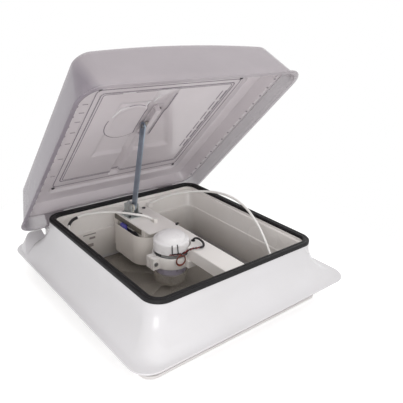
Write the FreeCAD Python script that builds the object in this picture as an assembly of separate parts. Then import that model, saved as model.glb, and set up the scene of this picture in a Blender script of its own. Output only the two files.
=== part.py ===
import FreeCAD, Part
import math
import os
from FreeCAD import Placement, Rotation, Vector

# Roof vent cover for a 14 inch (356 mm) caravan roof opening, all sizes in millimetres.
# X runs along the hinge edge, +Y points to the hinge, +Z up. The origin is the centre of the
# opening in the plane of the roof, which is the underside of the flange.

# ---- base ----
RIM_HALF_X, RIM_HALF_Y, RIM_RADIUS, RIM_TOP = 192.0, 200.0, 32.0, 72.0
FLANGE_HALF_X, FLANGE_HALF_Y, FLANGE_RADIUS, FLANGE_THICK = 247.0, 251.0, 36.0, 3.0
SKIRT_STEPS = 7
BASE_WALL = 3.0
SEAL_WIDTH, SEAL_HEIGHT = 13.4, 6.5
WELL_HALF_X, WELL_HALF_Y, WELL_RADIUS = 175.5, 180.0, 20.0
LEDGE_DEPTH = 6.0
NECK_HALF, NECK_INNER, NECK_RADIUS = 176.0, 173.5, 20.0
CREASE_Z, NECK_BOTTOM = 26.0, -40.0

# ---- inside trim ring and insect screen ----
TRIM_HALF, TRIM_RADIUS, TRIM_BOTTOM, TRIM_THICK = 210.5, 23.0, -53.5, 3.0
TRIM_LIP_TOP = -46.0
TRIM_OPENING, COLLAR_INNER, COLLAR_OUTER, COLLAR_TOP = 162.0, 176.6, 178.6, -14.0
TRIM_HOLE_SPAN, TRIM_HOLE_RADIUS = 394.0, 2.4
SCREEN_HALF, SCREEN_FRAME_WIDTH, SCREEN_Z = 172.5, 11.8, -46.0

# ---- lid ----
HINGE_Y, HINGE_Z, OPEN_ANGLE = 237.65, 30.43, 47.19
LID_HALF_X, LID_LENGTH, LID_RADIUS, LID_WALL = 236.3, 483.5, 40.0, 2.5
LID_LIP_IN, LID_LEAN_X, LID_LEAN_Y = 6.5, 0.309, 0.235
LID_EDGE_TOP, LID_CROWN = 78.5, 95.0
LID_MIDDLE_Y = -LID_LENGTH / 2
SEAL_PLANE, PANEL_PLANE, EMBOSS_PLANE, PANEL_SKIN = 48.8, 55.0, 60.0, 2.0
PANEL_FLANGE_N = 25.0
POCKET_X = (-27.0, 14.0)
POCKET_TOP = 66.8

# ---- lift linkage, all in the plane x = ARM_X ----
ARM_X, ARM_THICK = -17.0, 3.0
PIVOT_Y, PIVOT_Z = 132.0, 79.0
PIN_U, PIN_N = 270.5, 56.0
ARM_TIP_RADIUS, ARM_FOOT_RADIUS = 8.0, 8.0
PIVOT_PIN_RADIUS, PIN_CLEARANCE = 3.0, 0.06
PIN_RADIUS = 2.5
SECTOR_TEETH, SECTOR_RADIUS = 24, 10.0
WORM_RADIUS, CRANK_SHAFT_RADIUS = 4.6, 3.0
CRANK_X = ARM_X - ARM_THICK / 2 - 1.8
CRANK_Y = PIVOT_Y + SECTOR_RADIUS + WORM_RADIUS + 1.4
KNOB_TOP, KNOB_BOTTOM = -30.0, -51.0
EAR_X = ((-28.4, -26.0), (-11.4, -9.0))
SLIDER_X = (-13.2, -5.6)
SLIDER_HALF_N, SLIDER_HALF_U = 3.0, 9.0

# ---- crossbar, pocket for the controls, motor and fan ----
BAR_X0, BAR_X1, BAR_TOP, BAR_BOTTOM, BAR_WALL = -4.0, 44.0, 52.0, 26.2, 2.5
POD_X0, POD_FRONT, POD_BACK, POD_TOP, POD_BOTTOM = -57.5, 42.0, 173.0, 58.0, -18.0
POD_WALL_TOP, POD_BOX_X0, POD_BOX_FRONT, POD_BEND = 46.0, -43.0, 50.0, 33.0
COVER_X0, COVER_FRONT = -42.4, 34.0
MOTOR_X, MOTOR_Y = -17.0, -6.0
CAP_RADIUS, CAP_BOTTOM, CAP_TOP = 36.5, 40.0, 75.0
CLAMP_INNER, CLAMP_OUTER, CLAMP_BOTTOM, CLAMP_TOP = 34.8, 38.5, 9.0, 32.8
CLAMP_SCREW_X, CLAMP_SCREW_Z = MOTOR_X - 45.0, 21.0
CAN_RADIUS, CAN_BOTTOM, BAND_RADIUS = 31.0, -15.0, 34.3
SHAFT_RADIUS, HUB_BOTTOM = 4.0, -36.0
FAN_RADIUS, BLADE_COUNT = 146.0, 5

# ---- hinge ----
HINGE_X = (-150.0, 150.0)
HINGE_LEAF_WIDTH, BARREL_RADIUS, HINGE_PIN_RADIUS = 44.0, 4.0, 2.0
HINGE_FOOT_HALF, RAIL_TOP = 34.0, 28.6

# ---- wiring: points that each route turns at ----
CONDUIT_RADIUS, SLEEVE_RADIUS, LEAD_RADIUS = 2.6, 3.2, 0.9
LEFT_SLEEVE_ROUTE = ((-169.0, 134.0, 58.0), (-165.0, 146.0, 66.5), (-148.0, 163.0, 70.0),
                     (-133.0, 167.5, 70.4))
LEFT_ROUTE = ((-133.0, 167.5, 70.4), (-118.0, 172.0, 70.8), (-88.0, 165.0, 71.0), (-62.0, 153.0, 71.0),
              (-41.0, 134.0, 70.5), (-24.0, 117.0, 69.0), (-8.0, 106.0, 66.5), (3.0, 98.0, 61.0),
              (9.0, 92.0, 56.5))
RIGHT_ROUTE = ((50.0, 174.0, 56.0), (76.0, 156.0, 73.0), (108.0, 126.0, 88.0), (136.0, 90.0, 98.0),
               (152.0, 48.0, 105.0), (157.5, 2.0, 106.0), (155.0, -44.0, 97.0), (147.0, -86.0, 77.0),
               (139.0, -118.0, 54.0), (132.0, -142.0, 33.0))
TWIST_ROUTE = ((-22.0, -46.0, 43.0), (-14.0, -51.0, 49.0), (-6.0, -57.0, 55.5), (4.0, -62.0, 56.5),
               (12.0, -63.5, 56.0))
SLEEVE_ROUTE = ((12.0, -63.5, 56.0), (18.4, -64.7, 55.6), (24.5, -58.0, 58.5), (26.0, -47.0, 61.0),
                (25.0, -36.0, 61.5), (23.0, -29.0, 58.0), (22.4, -27.0, 53.2))
POCKET_ROUTES = (
    ((-49.8, 92.0, 37.2), (-49.5, 86.0, 46.0), (-49.0, 78.0, 50.0), (-47.5, 70.0, 46.0),
     (-46.5, 66.0, 34.0), (-46.5, 64.0, 20.0)),
    ((-51.5, 96.5, 37.2), (-52.5, 89.0, 42.5), (-52.0, 80.0, 46.0), (-50.3, 72.0, 42.0),
     (-49.5, 68.5, 30.0), (-49.0, 67.0, 18.0)))
LOOP_RADIUS = 11.0


def box(x0, x1, y0, y1, z0, z1):
    return Part.makeBox(x1 - x0, y1 - y0, z1 - z0, Vector(x0, y0, z0))


def cylinder(radius, start, direction, length):
    return Part.makeCylinder(radius, length, Vector(*start), Vector(*direction))


def rounded_wire(half_x, half_y, radius, z, middle_y=0.0):
    """Closed wire of a rectangle with round corners, level at height z."""
    edges = []
    corners = ((1, 1, 0), (-1, 1, 90), (-1, -1, 180), (1, -1, 270))
    arcs = []
    for sign_x, sign_y, start in corners:
        centre = Vector(sign_x * (half_x - radius), middle_y + sign_y * (half_y - radius), z)
        arcs.append([centre + Vector(radius * math.cos(math.radians(start + turn)),
                                     radius * math.sin(math.radians(start + turn)), 0)
                     for turn in (0, 45, 90)])
    for index, arc in enumerate(arcs):
        edges.append(Part.Arc(*arc).toShape())
        following = arcs[(index + 1) % 4]
        edges.append(Part.LineSegment(arc[2], following[0]).toShape())
    return Part.Wire(edges)


def rounded_plate(half_x, half_y, radius, z0, z1, middle_y=0.0):
    face = Part.Face(rounded_wire(half_x, half_y, radius, z0, middle_y))
    return face.extrude(Vector(0, 0, z1 - z0))


def stack(sections, middle_y=0.0):
    """Solid through level rounded rectangles (half_x, half_y, radius, z)."""
    wires = [rounded_wire(*section, middle_y) for section in sections]
    return Part.makeLoft(wires, True, True)


def revolve_profile(points, x, y):
    """Solid of revolution about the vertical axis at x, y from (radius, z) points."""
    corners = [Vector(x + radius, y, z) for radius, z in points]
    wire = Part.makePolygon(corners + [corners[0]])
    return Part.Face(wire).revolve(Vector(x, y, 0), Vector(0, 0, 1), 360)


def side_plate(points, x0, x1):
    """Prism along X from (y, z) points."""
    corners = [Vector(x0, y, z) for y, z in points]
    wire = Part.makePolygon(corners + [corners[0]])
    return Part.Face(wire).extrude(Vector(x1 - x0, 0, 0))


def fuse(shapes):
    result = shapes[0]
    for shape in shapes[1:]:
        result = result.fuse(shape)
    return result.removeSplitter()


def tube(points, radius):
    """Round bar along straight runs joined by tangent arcs, each as large as its runs allow."""
    path = [Vector(*point) for point in points]
    edges = []
    start = path[0]
    for before, corner, after in zip(path, path[1:], path[2:]):
        arriving = (corner - before).normalize()
        leaving = (after - corner).normalize()
        reach = 0.45 * min((corner - before).Length, (after - corner).Length)
        entry = corner - arriving * reach
        leave = corner + leaving * reach
        bisector = (leaving - arriving).normalize()
        half_turn = arriving.getAngle(leaving) / 2
        bend = reach / math.tan(half_turn)
        middle = corner + bisector * (bend / math.cos(half_turn) - bend)
        edges.append(Part.LineSegment(start, entry).toShape())
        edges.append(Part.Arc(entry, middle, leave).toShape())
        start = leave
    edges.append(Part.LineSegment(start, path[-1]).toShape())
    wire = Part.Wire(edges)
    heading = (path[1] - path[0]).normalize()
    ring = Part.Wire(Part.Circle(path[0], heading, radius).toShape())
    solid = wire.makePipeShell([ring], True, False)
    bends = [edge.Curve.Radius for edge in edges if hasattr(edge.Curve, "Radius")]
    print("tube radius %.1f length %.0f smallest bend %.0f volume ratio %.3f" %
          (radius, wire.Length, min(bends), solid.Volume / (wire.Length * math.pi * radius ** 2)))
    return solid


def pan_screw(position, direction, head_radius, head_height, shank_radius, shank_length):
    """Screw with its head's seat at position and its shank along direction."""
    way = Vector(*direction)
    seat = Vector(*position)
    head = Part.makeCylinder(head_radius, head_height, seat - way * head_height, way)
    shank = Part.makeCylinder(shank_radius, shank_length, seat, way)
    slot = Part.makeCylinder(head_radius * 0.4, head_height * 0.5, seat - way * head_height, way)
    return head.fuse(shank).cut(slot)


def lid_to_rest(shape):
    """Turn a shape from lid axes (x, -u, n) at the hinge to its open place."""
    moved = shape.copy()
    swing = Placement(Vector(0, HINGE_Y, HINGE_Z), Rotation(Vector(1, 0, 0), -OPEN_ANGLE))
    moved.Placement = swing.multiply(moved.Placement)
    return moved


def lid_point(x, u, n):
    """Open place of a lid point: x across, u from the hinge, n out of the lid's top."""
    angle = math.radians(OPEN_ANGLE)
    return Vector(x, HINGE_Y - u * math.cos(angle) + n * math.sin(angle),
                  HINGE_Z + u * math.sin(angle) + n * math.cos(angle))


PIN_OPEN = lid_point(ARM_X, PIN_U, PIN_N)
ARM_LENGTH = math.hypot(PIVOT_Y - PIN_OPEN.y, PIN_OPEN.z - PIVOT_Z)
ARM_RISE_OPEN = math.degrees(math.atan2(PIN_OPEN.z - PIVOT_Z, PIVOT_Y - PIN_OPEN.y))


# ---- base ----
def skirt_sections(inward, lift):
    """Concave flare from the rim down to the flange, moved inward and down."""
    sections = []
    for step in range(SKIRT_STEPS + 1):
        turn = math.radians(90.0 * step / SKIRT_STEPS)
        spread = 1 - math.cos(turn)
        z = FLANGE_THICK + (RIM_TOP - FLANGE_THICK) * (1 - math.sin(turn))
        sections.append((RIM_HALF_X + (FLANGE_HALF_X - RIM_HALF_X) * spread - inward,
                         RIM_HALF_Y + (FLANGE_HALF_Y - RIM_HALF_Y) * spread - inward,
                         RIM_RADIUS + (FLANGE_RADIUS - RIM_RADIUS) * spread, z - lift))
    return sections


def base_frame():
    flange = rounded_plate(FLANGE_HALF_X, FLANGE_HALF_Y, FLANGE_RADIUS, 0, FLANGE_THICK)
    body = flange.fuse(stack(skirt_sections(0, 0)))
    hollow = [section for section in skirt_sections(BASE_WALL, BASE_WALL) if section[3] > 8.0]
    last = hollow[-1]
    hollow.append((last[0] + 6, last[1] + 6, last[2], -1.0))
    kept_neck = rounded_plate(NECK_HALF + 4, WELL_HALF_Y + BASE_WALL, NECK_RADIUS, -2, RIM_TOP)
    body = body.cut(stack(hollow).cut(kept_neck))
    below_roof = rounded_plate(NECK_HALF + 8, NECK_HALF + 8, NECK_RADIUS, -2, CREASE_Z - 4)
    body = body.cut(below_roof)
    neck = rounded_plate(NECK_HALF, NECK_HALF, NECK_RADIUS, NECK_BOTTOM, CREASE_Z)
    shelf = rounded_plate(NECK_HALF + 6, WELL_HALF_Y + BASE_WALL, NECK_RADIUS, CREASE_Z - 4, CREASE_Z)
    body = body.fuse(neck).fuse(shelf)
    seal_shelf = rounded_plate(RIM_HALF_X - SEAL_WIDTH, RIM_HALF_Y - SEAL_WIDTH,
                               RIM_RADIUS - SEAL_WIDTH, RIM_TOP - LEDGE_DEPTH, RIM_TOP + 1)
    upper = rounded_plate(WELL_HALF_X, WELL_HALF_Y, WELL_RADIUS, CREASE_Z, RIM_TOP)
    lower = rounded_plate(NECK_INNER, NECK_INNER, WELL_RADIUS - 2, NECK_BOTTOM - 1, CREASE_Z + 1)
    body = body.cut(seal_shelf).cut(upper).cut(lower)
    for x in HINGE_X:
        foot = box(x - HINGE_FOOT_HALF, x + HINGE_FOOT_HALF, FLANGE_HALF_Y - 29, FLANGE_HALF_Y - 3,
                   FLANGE_THICK - 1, 9.0)
        body = body.fuse(foot.cut(stack(skirt_sections(0, 0))))
    return body.removeSplitter()


def hinge_rail():
    """Rail along the back flange that rises to the lid's lip, open at the two hinges."""
    low, high = FLANGE_THICK + 0.05, RAIL_TOP
    block = stack([(FLANGE_HALF_X - 6, FLANGE_HALF_Y - 5, 34, low),
                   (FLANGE_HALF_X - 25, FLANGE_HALF_Y - 9, 20, high)])
    ramp = side_plate([(190, low), (236, high), (252, high), (252, low)], -FLANGE_HALF_X, FLANGE_HALF_X)
    for x in HINGE_X:
        half = HINGE_FOOT_HALF + 2
        ramp = ramp.cut(box(x - half, x + half, 180, 260, 0, 60))
    return block.common(ramp).cut(stack(skirt_sections(0, 0)))


def rim_seal():
    middle = SEAL_WIDTH / 2
    sections = []
    for inset, z in ((0.0, 0.0), (0.0, 4.2), (0.8, 5.6), (2.4, SEAL_HEIGHT)):
        sections.append((RIM_HALF_X - inset, RIM_HALF_Y - inset, RIM_RADIUS - inset, RIM_TOP + z))
    outer = stack(sections)
    holes = []
    for inset, z in ((0.0, -1.0), (0.0, 4.2), (0.8, 5.6), (2.4, SEAL_HEIGHT + 0.01)):
        reach = SEAL_WIDTH - inset
        holes.append((RIM_HALF_X - reach, RIM_HALF_Y - reach, RIM_RADIUS - middle - 2, RIM_TOP + z))
    return outer.cut(stack(holes))


# ---- inside trim ring and insect screen ----
def trim_hole_places():
    reach = TRIM_HOLE_SPAN / 2
    return [(x, y) for x in (-reach, reach) for y in (-reach, reach)]


def trim_ring():
    top = TRIM_BOTTOM + TRIM_THICK
    ring = stack([(TRIM_HALF - 2, TRIM_HALF - 2, TRIM_RADIUS - 2, TRIM_BOTTOM),
                  (TRIM_HALF, TRIM_HALF, TRIM_RADIUS, TRIM_BOTTOM + 2),
                  (TRIM_HALF, TRIM_HALF, TRIM_RADIUS, TRIM_LIP_TOP)])
    ring = ring.cut(rounded_plate(TRIM_HALF - 3, TRIM_HALF - 3, TRIM_RADIUS - 3, top, 0))
    collar = rounded_plate(COLLAR_OUTER, COLLAR_OUTER, NECK_RADIUS + 2, top - 1, COLLAR_TOP)
    collar = collar.cut(rounded_plate(COLLAR_INNER, COLLAR_INNER, NECK_RADIUS, top - 2, 0))
    ring = ring.fuse(collar)
    ring = ring.cut(rounded_plate(TRIM_OPENING, TRIM_OPENING, 16, TRIM_BOTTOM - 1, 0))
    for x, y in trim_hole_places():
        ring = ring.cut(cylinder(TRIM_HOLE_RADIUS, (x, y, TRIM_BOTTOM - 1), (0, 0, 1), 12))
    return ring.removeSplitter()


def screen_frame():
    bottom = TRIM_BOTTOM + TRIM_THICK
    frame = rounded_plate(SCREEN_HALF, SCREEN_HALF, 17, bottom, SCREEN_Z)
    inner = SCREEN_HALF - SCREEN_FRAME_WIDTH
    return frame.cut(rounded_plate(inner, inner, 12, bottom - 1, 0))


def insect_screen():
    half = SCREEN_HALF - 3
    sheet = rounded_plate(half, half, 15, SCREEN_Z, SCREEN_Z + 0.8)
    return sheet.cut(cylinder(13, (CRANK_X, CRANK_Y, SCREEN_Z - 1), (0, 0, 1), 4))


# ---- crossbar and control pocket ----
def crossbar():
    end = WELL_HALF_Y - 0.3
    bar = box(BAR_X0, BAR_X1, -end, end, BAR_BOTTOM, BAR_TOP)
    bar = bar.makeFillet(2.0, [edge for edge in bar.Edges
                               if edge.BoundBox.ZMin > BAR_TOP - 0.1 and edge.BoundBox.YLength > 300])
    inside = box(BAR_X0 + BAR_WALL, BAR_X1 - BAR_WALL, -end + BAR_WALL, end - BAR_WALL,
                 BAR_BOTTOM - 1, BAR_TOP - BAR_WALL)
    depth = BAR_TOP - BAR_BOTTOM
    notch_wall = cylinder(CLAMP_OUTER + 3.5, (MOTOR_X, MOTOR_Y, BAR_BOTTOM), (0, 0, 1), depth)
    notch = cylinder(CLAMP_OUTER + 1.0, (MOTOR_X, MOTOR_Y, 0), (0, 0, 1), 100)
    wall_span = box(BAR_X0, BAR_X1, -60, 60, BAR_BOTTOM, BAR_TOP - 1)
    bar = bar.cut(inside).fuse(notch_wall.common(wall_span))
    bar = bar.cut(notch)
    for side in (-1, 1):
        bar = bar.cut(cylinder(1.8, (BAR_X1 - 12, side * (end - 11), 0), (0, 0, 1), 100))
    return bar.removeSplitter()


def bar_screws():
    end = WELL_HALF_Y - 0.3
    screws = []
    for side in (-1, 1):
        place = (BAR_X1 - 12, side * (end - 11), BAR_TOP)
        screws.append(pan_screw(place, (0, 0, -1), 4.0, 1.8, 1.7, 12))
    return Part.makeCompound(screws)


def pod_outline(inset, z):
    """Plan of the pocket: its left wall curves in towards the motor and slants in at the back."""
    x0, x1, x_box = POD_X0 + inset, BAR_X0 - 0.4 - inset, POD_BOX_X0 + inset
    y0, y1 = POD_FRONT + inset, POD_BACK - inset
    bend = POD_BEND - inset
    centre = Vector(x0 + bend, y0 + bend, z)
    half = bend * math.sqrt(0.5)
    middle = centre + Vector(-half, -half, 0)
    slant = POD_BACK - 29.0 - inset * 0.5
    corners = [Vector(x0 + bend, y0, z), Vector(x1, y0, z), Vector(x1, y1, z), Vector(x_box, y1, z),
               Vector(x_box, slant + 12.0, z), Vector(x0, slant, z), Vector(x0, y0 + bend, z)]
    edges = [Part.Arc(corners[-1], middle, corners[0]).toShape()]
    for start, end in zip(corners, corners[1:]):
        edges.append(Part.LineSegment(start, end).toShape())
    return Part.Face(Part.Wire(edges))


def control_pocket():
    """Open channel for the board along the left, and a higher closed box over the crank."""
    floor = POD_BOTTOM + 2
    tray = pod_outline(0, POD_BOTTOM).extrude(Vector(0, 0, POD_WALL_TOP - POD_BOTTOM))
    tray = tray.cut(pod_outline(2.0, floor).extrude(Vector(0, 0, POD_TOP - floor)))
    x1 = BAR_X0 - 0.4
    tall = box(POD_BOX_X0, x1, POD_BOX_FRONT, POD_BACK, POD_BOTTOM, POD_TOP)
    tall = tall.cut(box(POD_BOX_X0 + 2, x1 - 2, POD_BOX_FRONT + 2, POD_BACK - 2, floor, POD_TOP + 1))
    sleeve = cylinder(7.0, (CRANK_X, CRANK_Y, POD_BOTTOM), (0, 0, 1), 14)
    body = fuse([tray, tall, sleeve])
    return body.cut(cylinder(4.4, (CRANK_X, CRANK_Y, -30), (0, 0, 1), 60)).removeSplitter()


def pocket_cover():
    """Lid of the pocket's box; it leaves the channel along the left wall open."""
    bottom = POD_TOP + 0.1
    plate = box(COVER_X0, BAR_X0 - 0.4, COVER_FRONT, POD_BACK, bottom, bottom + 2.0)
    corners = [edge for edge in plate.Edges
               if edge.BoundBox.ZLength > 1.5 and edge.BoundBox.XMin < COVER_X0 + 0.1]
    cover = plate.makeFillet(5.0, corners)
    return cover.cut(cylinder(7.2, (CRANK_X, CRANK_Y, 40), (0, 0, 1), 40)).removeSplitter()


def control_board():
    right = POD_BOX_X0 - 2.0
    return box(right - 1.6, right, POD_FRONT + 34, POD_BACK - 33, POD_BOTTOM + 8, POD_WALL_TOP - 2)


def board_parts():
    x = POD_BOX_X0 - 3.7
    plug = box(x - 6.4, x, 112, 132, 20, 51)
    relay = box(x - 6.4, x, 88, 99, 10, 36)
    capacitor = cylinder(3, (x - 3.1, 105, 20), (0, 0, 1), 20)
    return Part.makeCompound([plug, relay, capacitor])


# ---- lift bracket, crank and arm ----
def lift_bracket():
    floor = POD_TOP + 2.1
    front, back = PIVOT_Y - 16, CRANK_Y + 12
    base = box(EAR_X[0][0] - 9, BAR_X0 + 2, front, back, floor, floor + 2.4)
    pieces = [base]
    for x0, x1 in EAR_X:
        outline = [(PIVOT_Y - 6, floor), (PIVOT_Y + 22, floor), (PIVOT_Y + 22, PIVOT_Z + 4),
                   (PIVOT_Y + 8, PIVOT_Z + 8), (PIVOT_Y - 7, PIVOT_Z + 8)]
        ear = side_plate(outline, x0, x1)
        pieces.append(ear.cut(cylinder(PIVOT_PIN_RADIUS, (x0 - 1, PIVOT_Y, PIVOT_Z), (1, 0, 0), 5)))
    left, right = EAR_X[0][0], EAR_X[1][1]
    bridge = box(left, right, CRANK_Y - 4.4, CRANK_Y + 6, PIVOT_Z + 3, PIVOT_Z + 5)
    pieces.append(bridge)
    body = fuse(pieces)
    return body.cut(cylinder(CRANK_SHAFT_RADIUS + 0.1, (CRANK_X, CRANK_Y, 40), (0, 0, 1), 60))


def bracket_screw_places():
    return [(EAR_X[0][0] - 5, PIVOT_Y - 9), (EAR_X[0][0] - 5, CRANK_Y + 5),
            (BAR_X0 - 1.6, PIVOT_Y - 9), (BAR_X0 - 1.6, CRANK_Y + 5)]


def bracket_screws():
    seat = POD_TOP + 4.5
    return Part.makeCompound([pan_screw((x, y, seat), (0, 0, -1), 3.2, 1.8, 1.5, 4.0)
                              for x, y in bracket_screw_places()])


def pivot_pin():
    start = EAR_X[0][0] - 1.8
    pin = cylinder(PIVOT_PIN_RADIUS, (start, PIVOT_Y, PIVOT_Z), (1, 0, 0), EAR_X[1][1] + 1.8 - start)
    for x in (start, EAR_X[1][1] + 0.1):
        pin = pin.fuse(cylinder(4.6, (x, PIVOT_Y, PIVOT_Z), (1, 0, 0), 1.7))
    return pin.removeSplitter()


def crank_shaft():
    """Upright shaft with the worm's thread as close rings at its top end."""
    start = KNOB_BOTTOM + 5
    shaft = cylinder(CRANK_SHAFT_RADIUS, (CRANK_X, CRANK_Y, start), (0, 0, 1), PIVOT_Z + 10 - start)
    profile = [(CRANK_SHAFT_RADIUS - 0.5, PIVOT_Z - 9)]
    pitch = 2 * math.pi * SECTOR_RADIUS / SECTOR_TEETH
    for turn in range(4):
        z = PIVOT_Z - 8.5 + turn * pitch
        profile += [(WORM_RADIUS - 1, z), (WORM_RADIUS, z + pitch * 0.3),
                    (WORM_RADIUS, z + pitch * 0.5), (WORM_RADIUS - 1, z + pitch * 0.8)]
    profile.append((CRANK_SHAFT_RADIUS - 0.5, PIVOT_Z + 2.4))
    return shaft.fuse(revolve_profile(profile, CRANK_X, CRANK_Y)).removeSplitter()


def crank_knob():
    """Finger knob with six flats cut into its rim, recessed above the trim ring's face."""
    knob = revolve_profile([(0, KNOB_TOP), (6, KNOB_TOP), (7, KNOB_TOP - 6),
                            (11.4, KNOB_TOP - 9), (11.4, KNOB_BOTTOM + 2), (10, KNOB_BOTTOM),
                            (0, KNOB_BOTTOM)], CRANK_X, CRANK_Y)
    for index in range(6):
        angle = math.radians(60 * index)
        x, y = CRANK_X + 13 * math.cos(angle), CRANK_Y + 13 * math.sin(angle)
        grip = cylinder(2.6, (x, y, KNOB_BOTTOM - 1), (0, 0, 1), 22)
        knob = knob.cut(grip)
    return knob.cut(cylinder(CRANK_SHAFT_RADIUS, (CRANK_X, CRANK_Y, KNOB_BOTTOM + 5), (0, 0, 1), 60))


def arm_frame(along, across):
    """Point of the open arm: along it from the pivot, and across it towards the hinge."""
    rise = math.radians(ARM_RISE_OPEN)
    return (PIVOT_Y - along * math.cos(rise) + across * math.sin(rise),
            PIVOT_Z + along * math.sin(rise) + across * math.cos(rise))


def lift_arm():
    x0 = ARM_X - ARM_THICK / 2
    outline = [arm_frame(0, -ARM_FOOT_RADIUS), arm_frame(ARM_LENGTH, -ARM_TIP_RADIUS),
               arm_frame(ARM_LENGTH, ARM_TIP_RADIUS), arm_frame(0, ARM_FOOT_RADIUS)]
    pieces = [side_plate(outline, x0, x0 + ARM_THICK),
              cylinder(8.0, (x0, PIVOT_Y, PIVOT_Z), (1, 0, 0), ARM_THICK),
              cylinder(ARM_TIP_RADIUS, (x0, PIN_OPEN.y, PIN_OPEN.z), (1, 0, 0), ARM_THICK)]
    arm = fuse(pieces)
    arm = arm.cut(cylinder(PIVOT_PIN_RADIUS + PIN_CLEARANCE, (x0 - 1, PIVOT_Y, PIVOT_Z), (1, 0, 0), 6))
    return arm.cut(cylinder(PIN_RADIUS + PIN_CLEARANCE, (x0 - 1, PIN_OPEN.y, PIN_OPEN.z), (1, 0, 0), 6))


def arm_sector():
    """Toothed quadrant riveted to the arm's foot; its teeth run past the worm."""
    x1 = ARM_X - ARM_THICK / 2
    x0 = x1 - 3.6
    tip, root = SECTOR_RADIUS + 0.9, SECTOR_RADIUS - 0.9
    pitch = 360.0 / SECTOR_TEETH
    points = []
    for tooth in range(-7, 2):
        middle = tooth * pitch
        for offset, radius in ((-0.36, root), (-0.16, tip), (0.16, tip), (0.36, root)):
            angle = math.radians(middle + offset * pitch)
            points.append((PIVOT_Y + radius * math.cos(angle), PIVOT_Z + radius * math.sin(angle)))
    sector = side_plate(points + [(PIVOT_Y - 2, PIVOT_Z + 2)], x0, x1)
    sector = sector.fuse(cylinder(7.0, (x0, PIVOT_Y, PIVOT_Z), (1, 0, 0), x1 - x0)).removeSplitter()
    return sector.cut(cylinder(PIVOT_PIN_RADIUS + PIN_CLEARANCE, (x0 - 1, PIVOT_Y, PIVOT_Z), (1, 0, 0), 8))


def arm_spacer():
    """Bush on the pivot pin that keeps the arm off the right ear."""
    x0 = ARM_X + ARM_THICK / 2 + 0.1
    x1 = EAR_X[1][0] - 0.3
    bush = cylinder(5.0, (x0, PIVOT_Y, PIVOT_Z), (1, 0, 0), x1 - x0)
    return bush.cut(cylinder(PIVOT_PIN_RADIUS + PIN_CLEARANCE, (x0 - 1, PIVOT_Y, PIVOT_Z), (1, 0, 0), 9))


# ---- slider that rides in the lid's track ----
def track_slider():
    x0, x1 = SLIDER_X
    block = box(x0, x1, -PIN_U - SLIDER_HALF_U, -PIN_U + SLIDER_HALF_U,
                PIN_N - SLIDER_HALF_N, PIN_N + SLIDER_HALF_N)
    block = block.makeFillet(1.2, [edge for edge in block.Edges if edge.BoundBox.XLength > 5])
    block = block.cut(cylinder(PIN_RADIUS, (x0 - 1, -PIN_U, PIN_N), (1, 0, 0), 12))
    return lid_to_rest(block)


def slider_pin():
    x0 = ARM_X - ARM_THICK / 2 - 2.0
    pin = cylinder(PIN_RADIUS, (x0, -PIN_U, PIN_N), (1, 0, 0), SLIDER_X[1] - x0)
    head = cylinder(4.6, (x0, -PIN_U, PIN_N), (1, 0, 0), 1.7)
    return lid_to_rest(pin.fuse(head).removeSplitter())


# ---- lid ----
def lid_sections(inward):
    """Lid outline from its lip up its leaning wall, as (half_x, half_y, radius, n)."""
    top = LID_CROWN + 2
    lean_x, lean_y = LID_LEAN_X * (top - 8.0), LID_LEAN_Y * (top - 8.0)
    steps = ((0.0, 0.0, 0.0), (0.0, 0.0, 2.5), (LID_LIP_IN - 1.5, LID_LIP_IN - 1.5, 4.5),
             (LID_LIP_IN, LID_LIP_IN, 8.0), (LID_LIP_IN + lean_x, LID_LIP_IN + lean_y, top))
    sections = []
    for inset_x, inset_y, n in steps:
        radius = LID_RADIUS - inset_x * 0.5 - inward
        sections.append((LID_HALF_X - inset_x - inward, LID_LENGTH / 2 - inset_y - inward, radius, n))
    return sections


def under_crown(lowered):
    """Everything below the lid's arched top, which is highest half way across."""
    ends = [Vector(side * LID_HALF_X, 1, LID_EDGE_TOP - lowered) for side in (-1, 1)]
    arch = Part.Arc(ends[0], Vector(0, 1, LID_CROWN - lowered), ends[1]).toShape()
    low = [Vector(side * LID_HALF_X, 1, -5) for side in (1, -1)]
    edges = [arch, Part.LineSegment(ends[1], low[0]).toShape(), Part.LineSegment(low[0], low[1]).toShape(),
             Part.LineSegment(low[1], ends[0]).toShape()]
    return Part.Face(Part.Wire(edges)).extrude(Vector(0, -LID_LENGTH - 2, 0))


def lid_shell():
    outer = stack(lid_sections(0), LID_MIDDLE_Y).common(under_crown(0))
    hollow = lid_sections(LID_WALL)[2:]
    hollow.insert(0, (*hollow[0][:3], -1.0))
    shell = outer.cut(stack(hollow, LID_MIDDLE_Y).common(under_crown(LID_WALL)))
    for x in HINGE_X:
        half = HINGE_LEAF_WIDTH / 2 + 8
        shell = shell.cut(box(x - half, x + half, -9.5, 1, -1, 4.5))
    return lid_to_rest(shell)


def pocket_solid(grow):
    """Deep channel over the arm: a wide part at the track and a narrow one back to the pivot."""
    x0, x1 = POCKET_X
    top = POCKET_TOP + grow
    wide = side_plate([(-228 + grow, 40), (-228 + grow, top), (-332 - grow, top),
                       (-388 - grow, PANEL_PLANE + grow), (-388 - grow, 40)], x0 - grow, x1 + grow)
    narrow = side_plate([(-84 + grow, 40), (-84 + grow, 62.4 + grow), (-232, top), (-232, 40)],
                        EAR_X[0][0] - 3.4 - grow, EAR_X[1][1] + 3.4 + grow)
    return wide.fuse(narrow)


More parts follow.
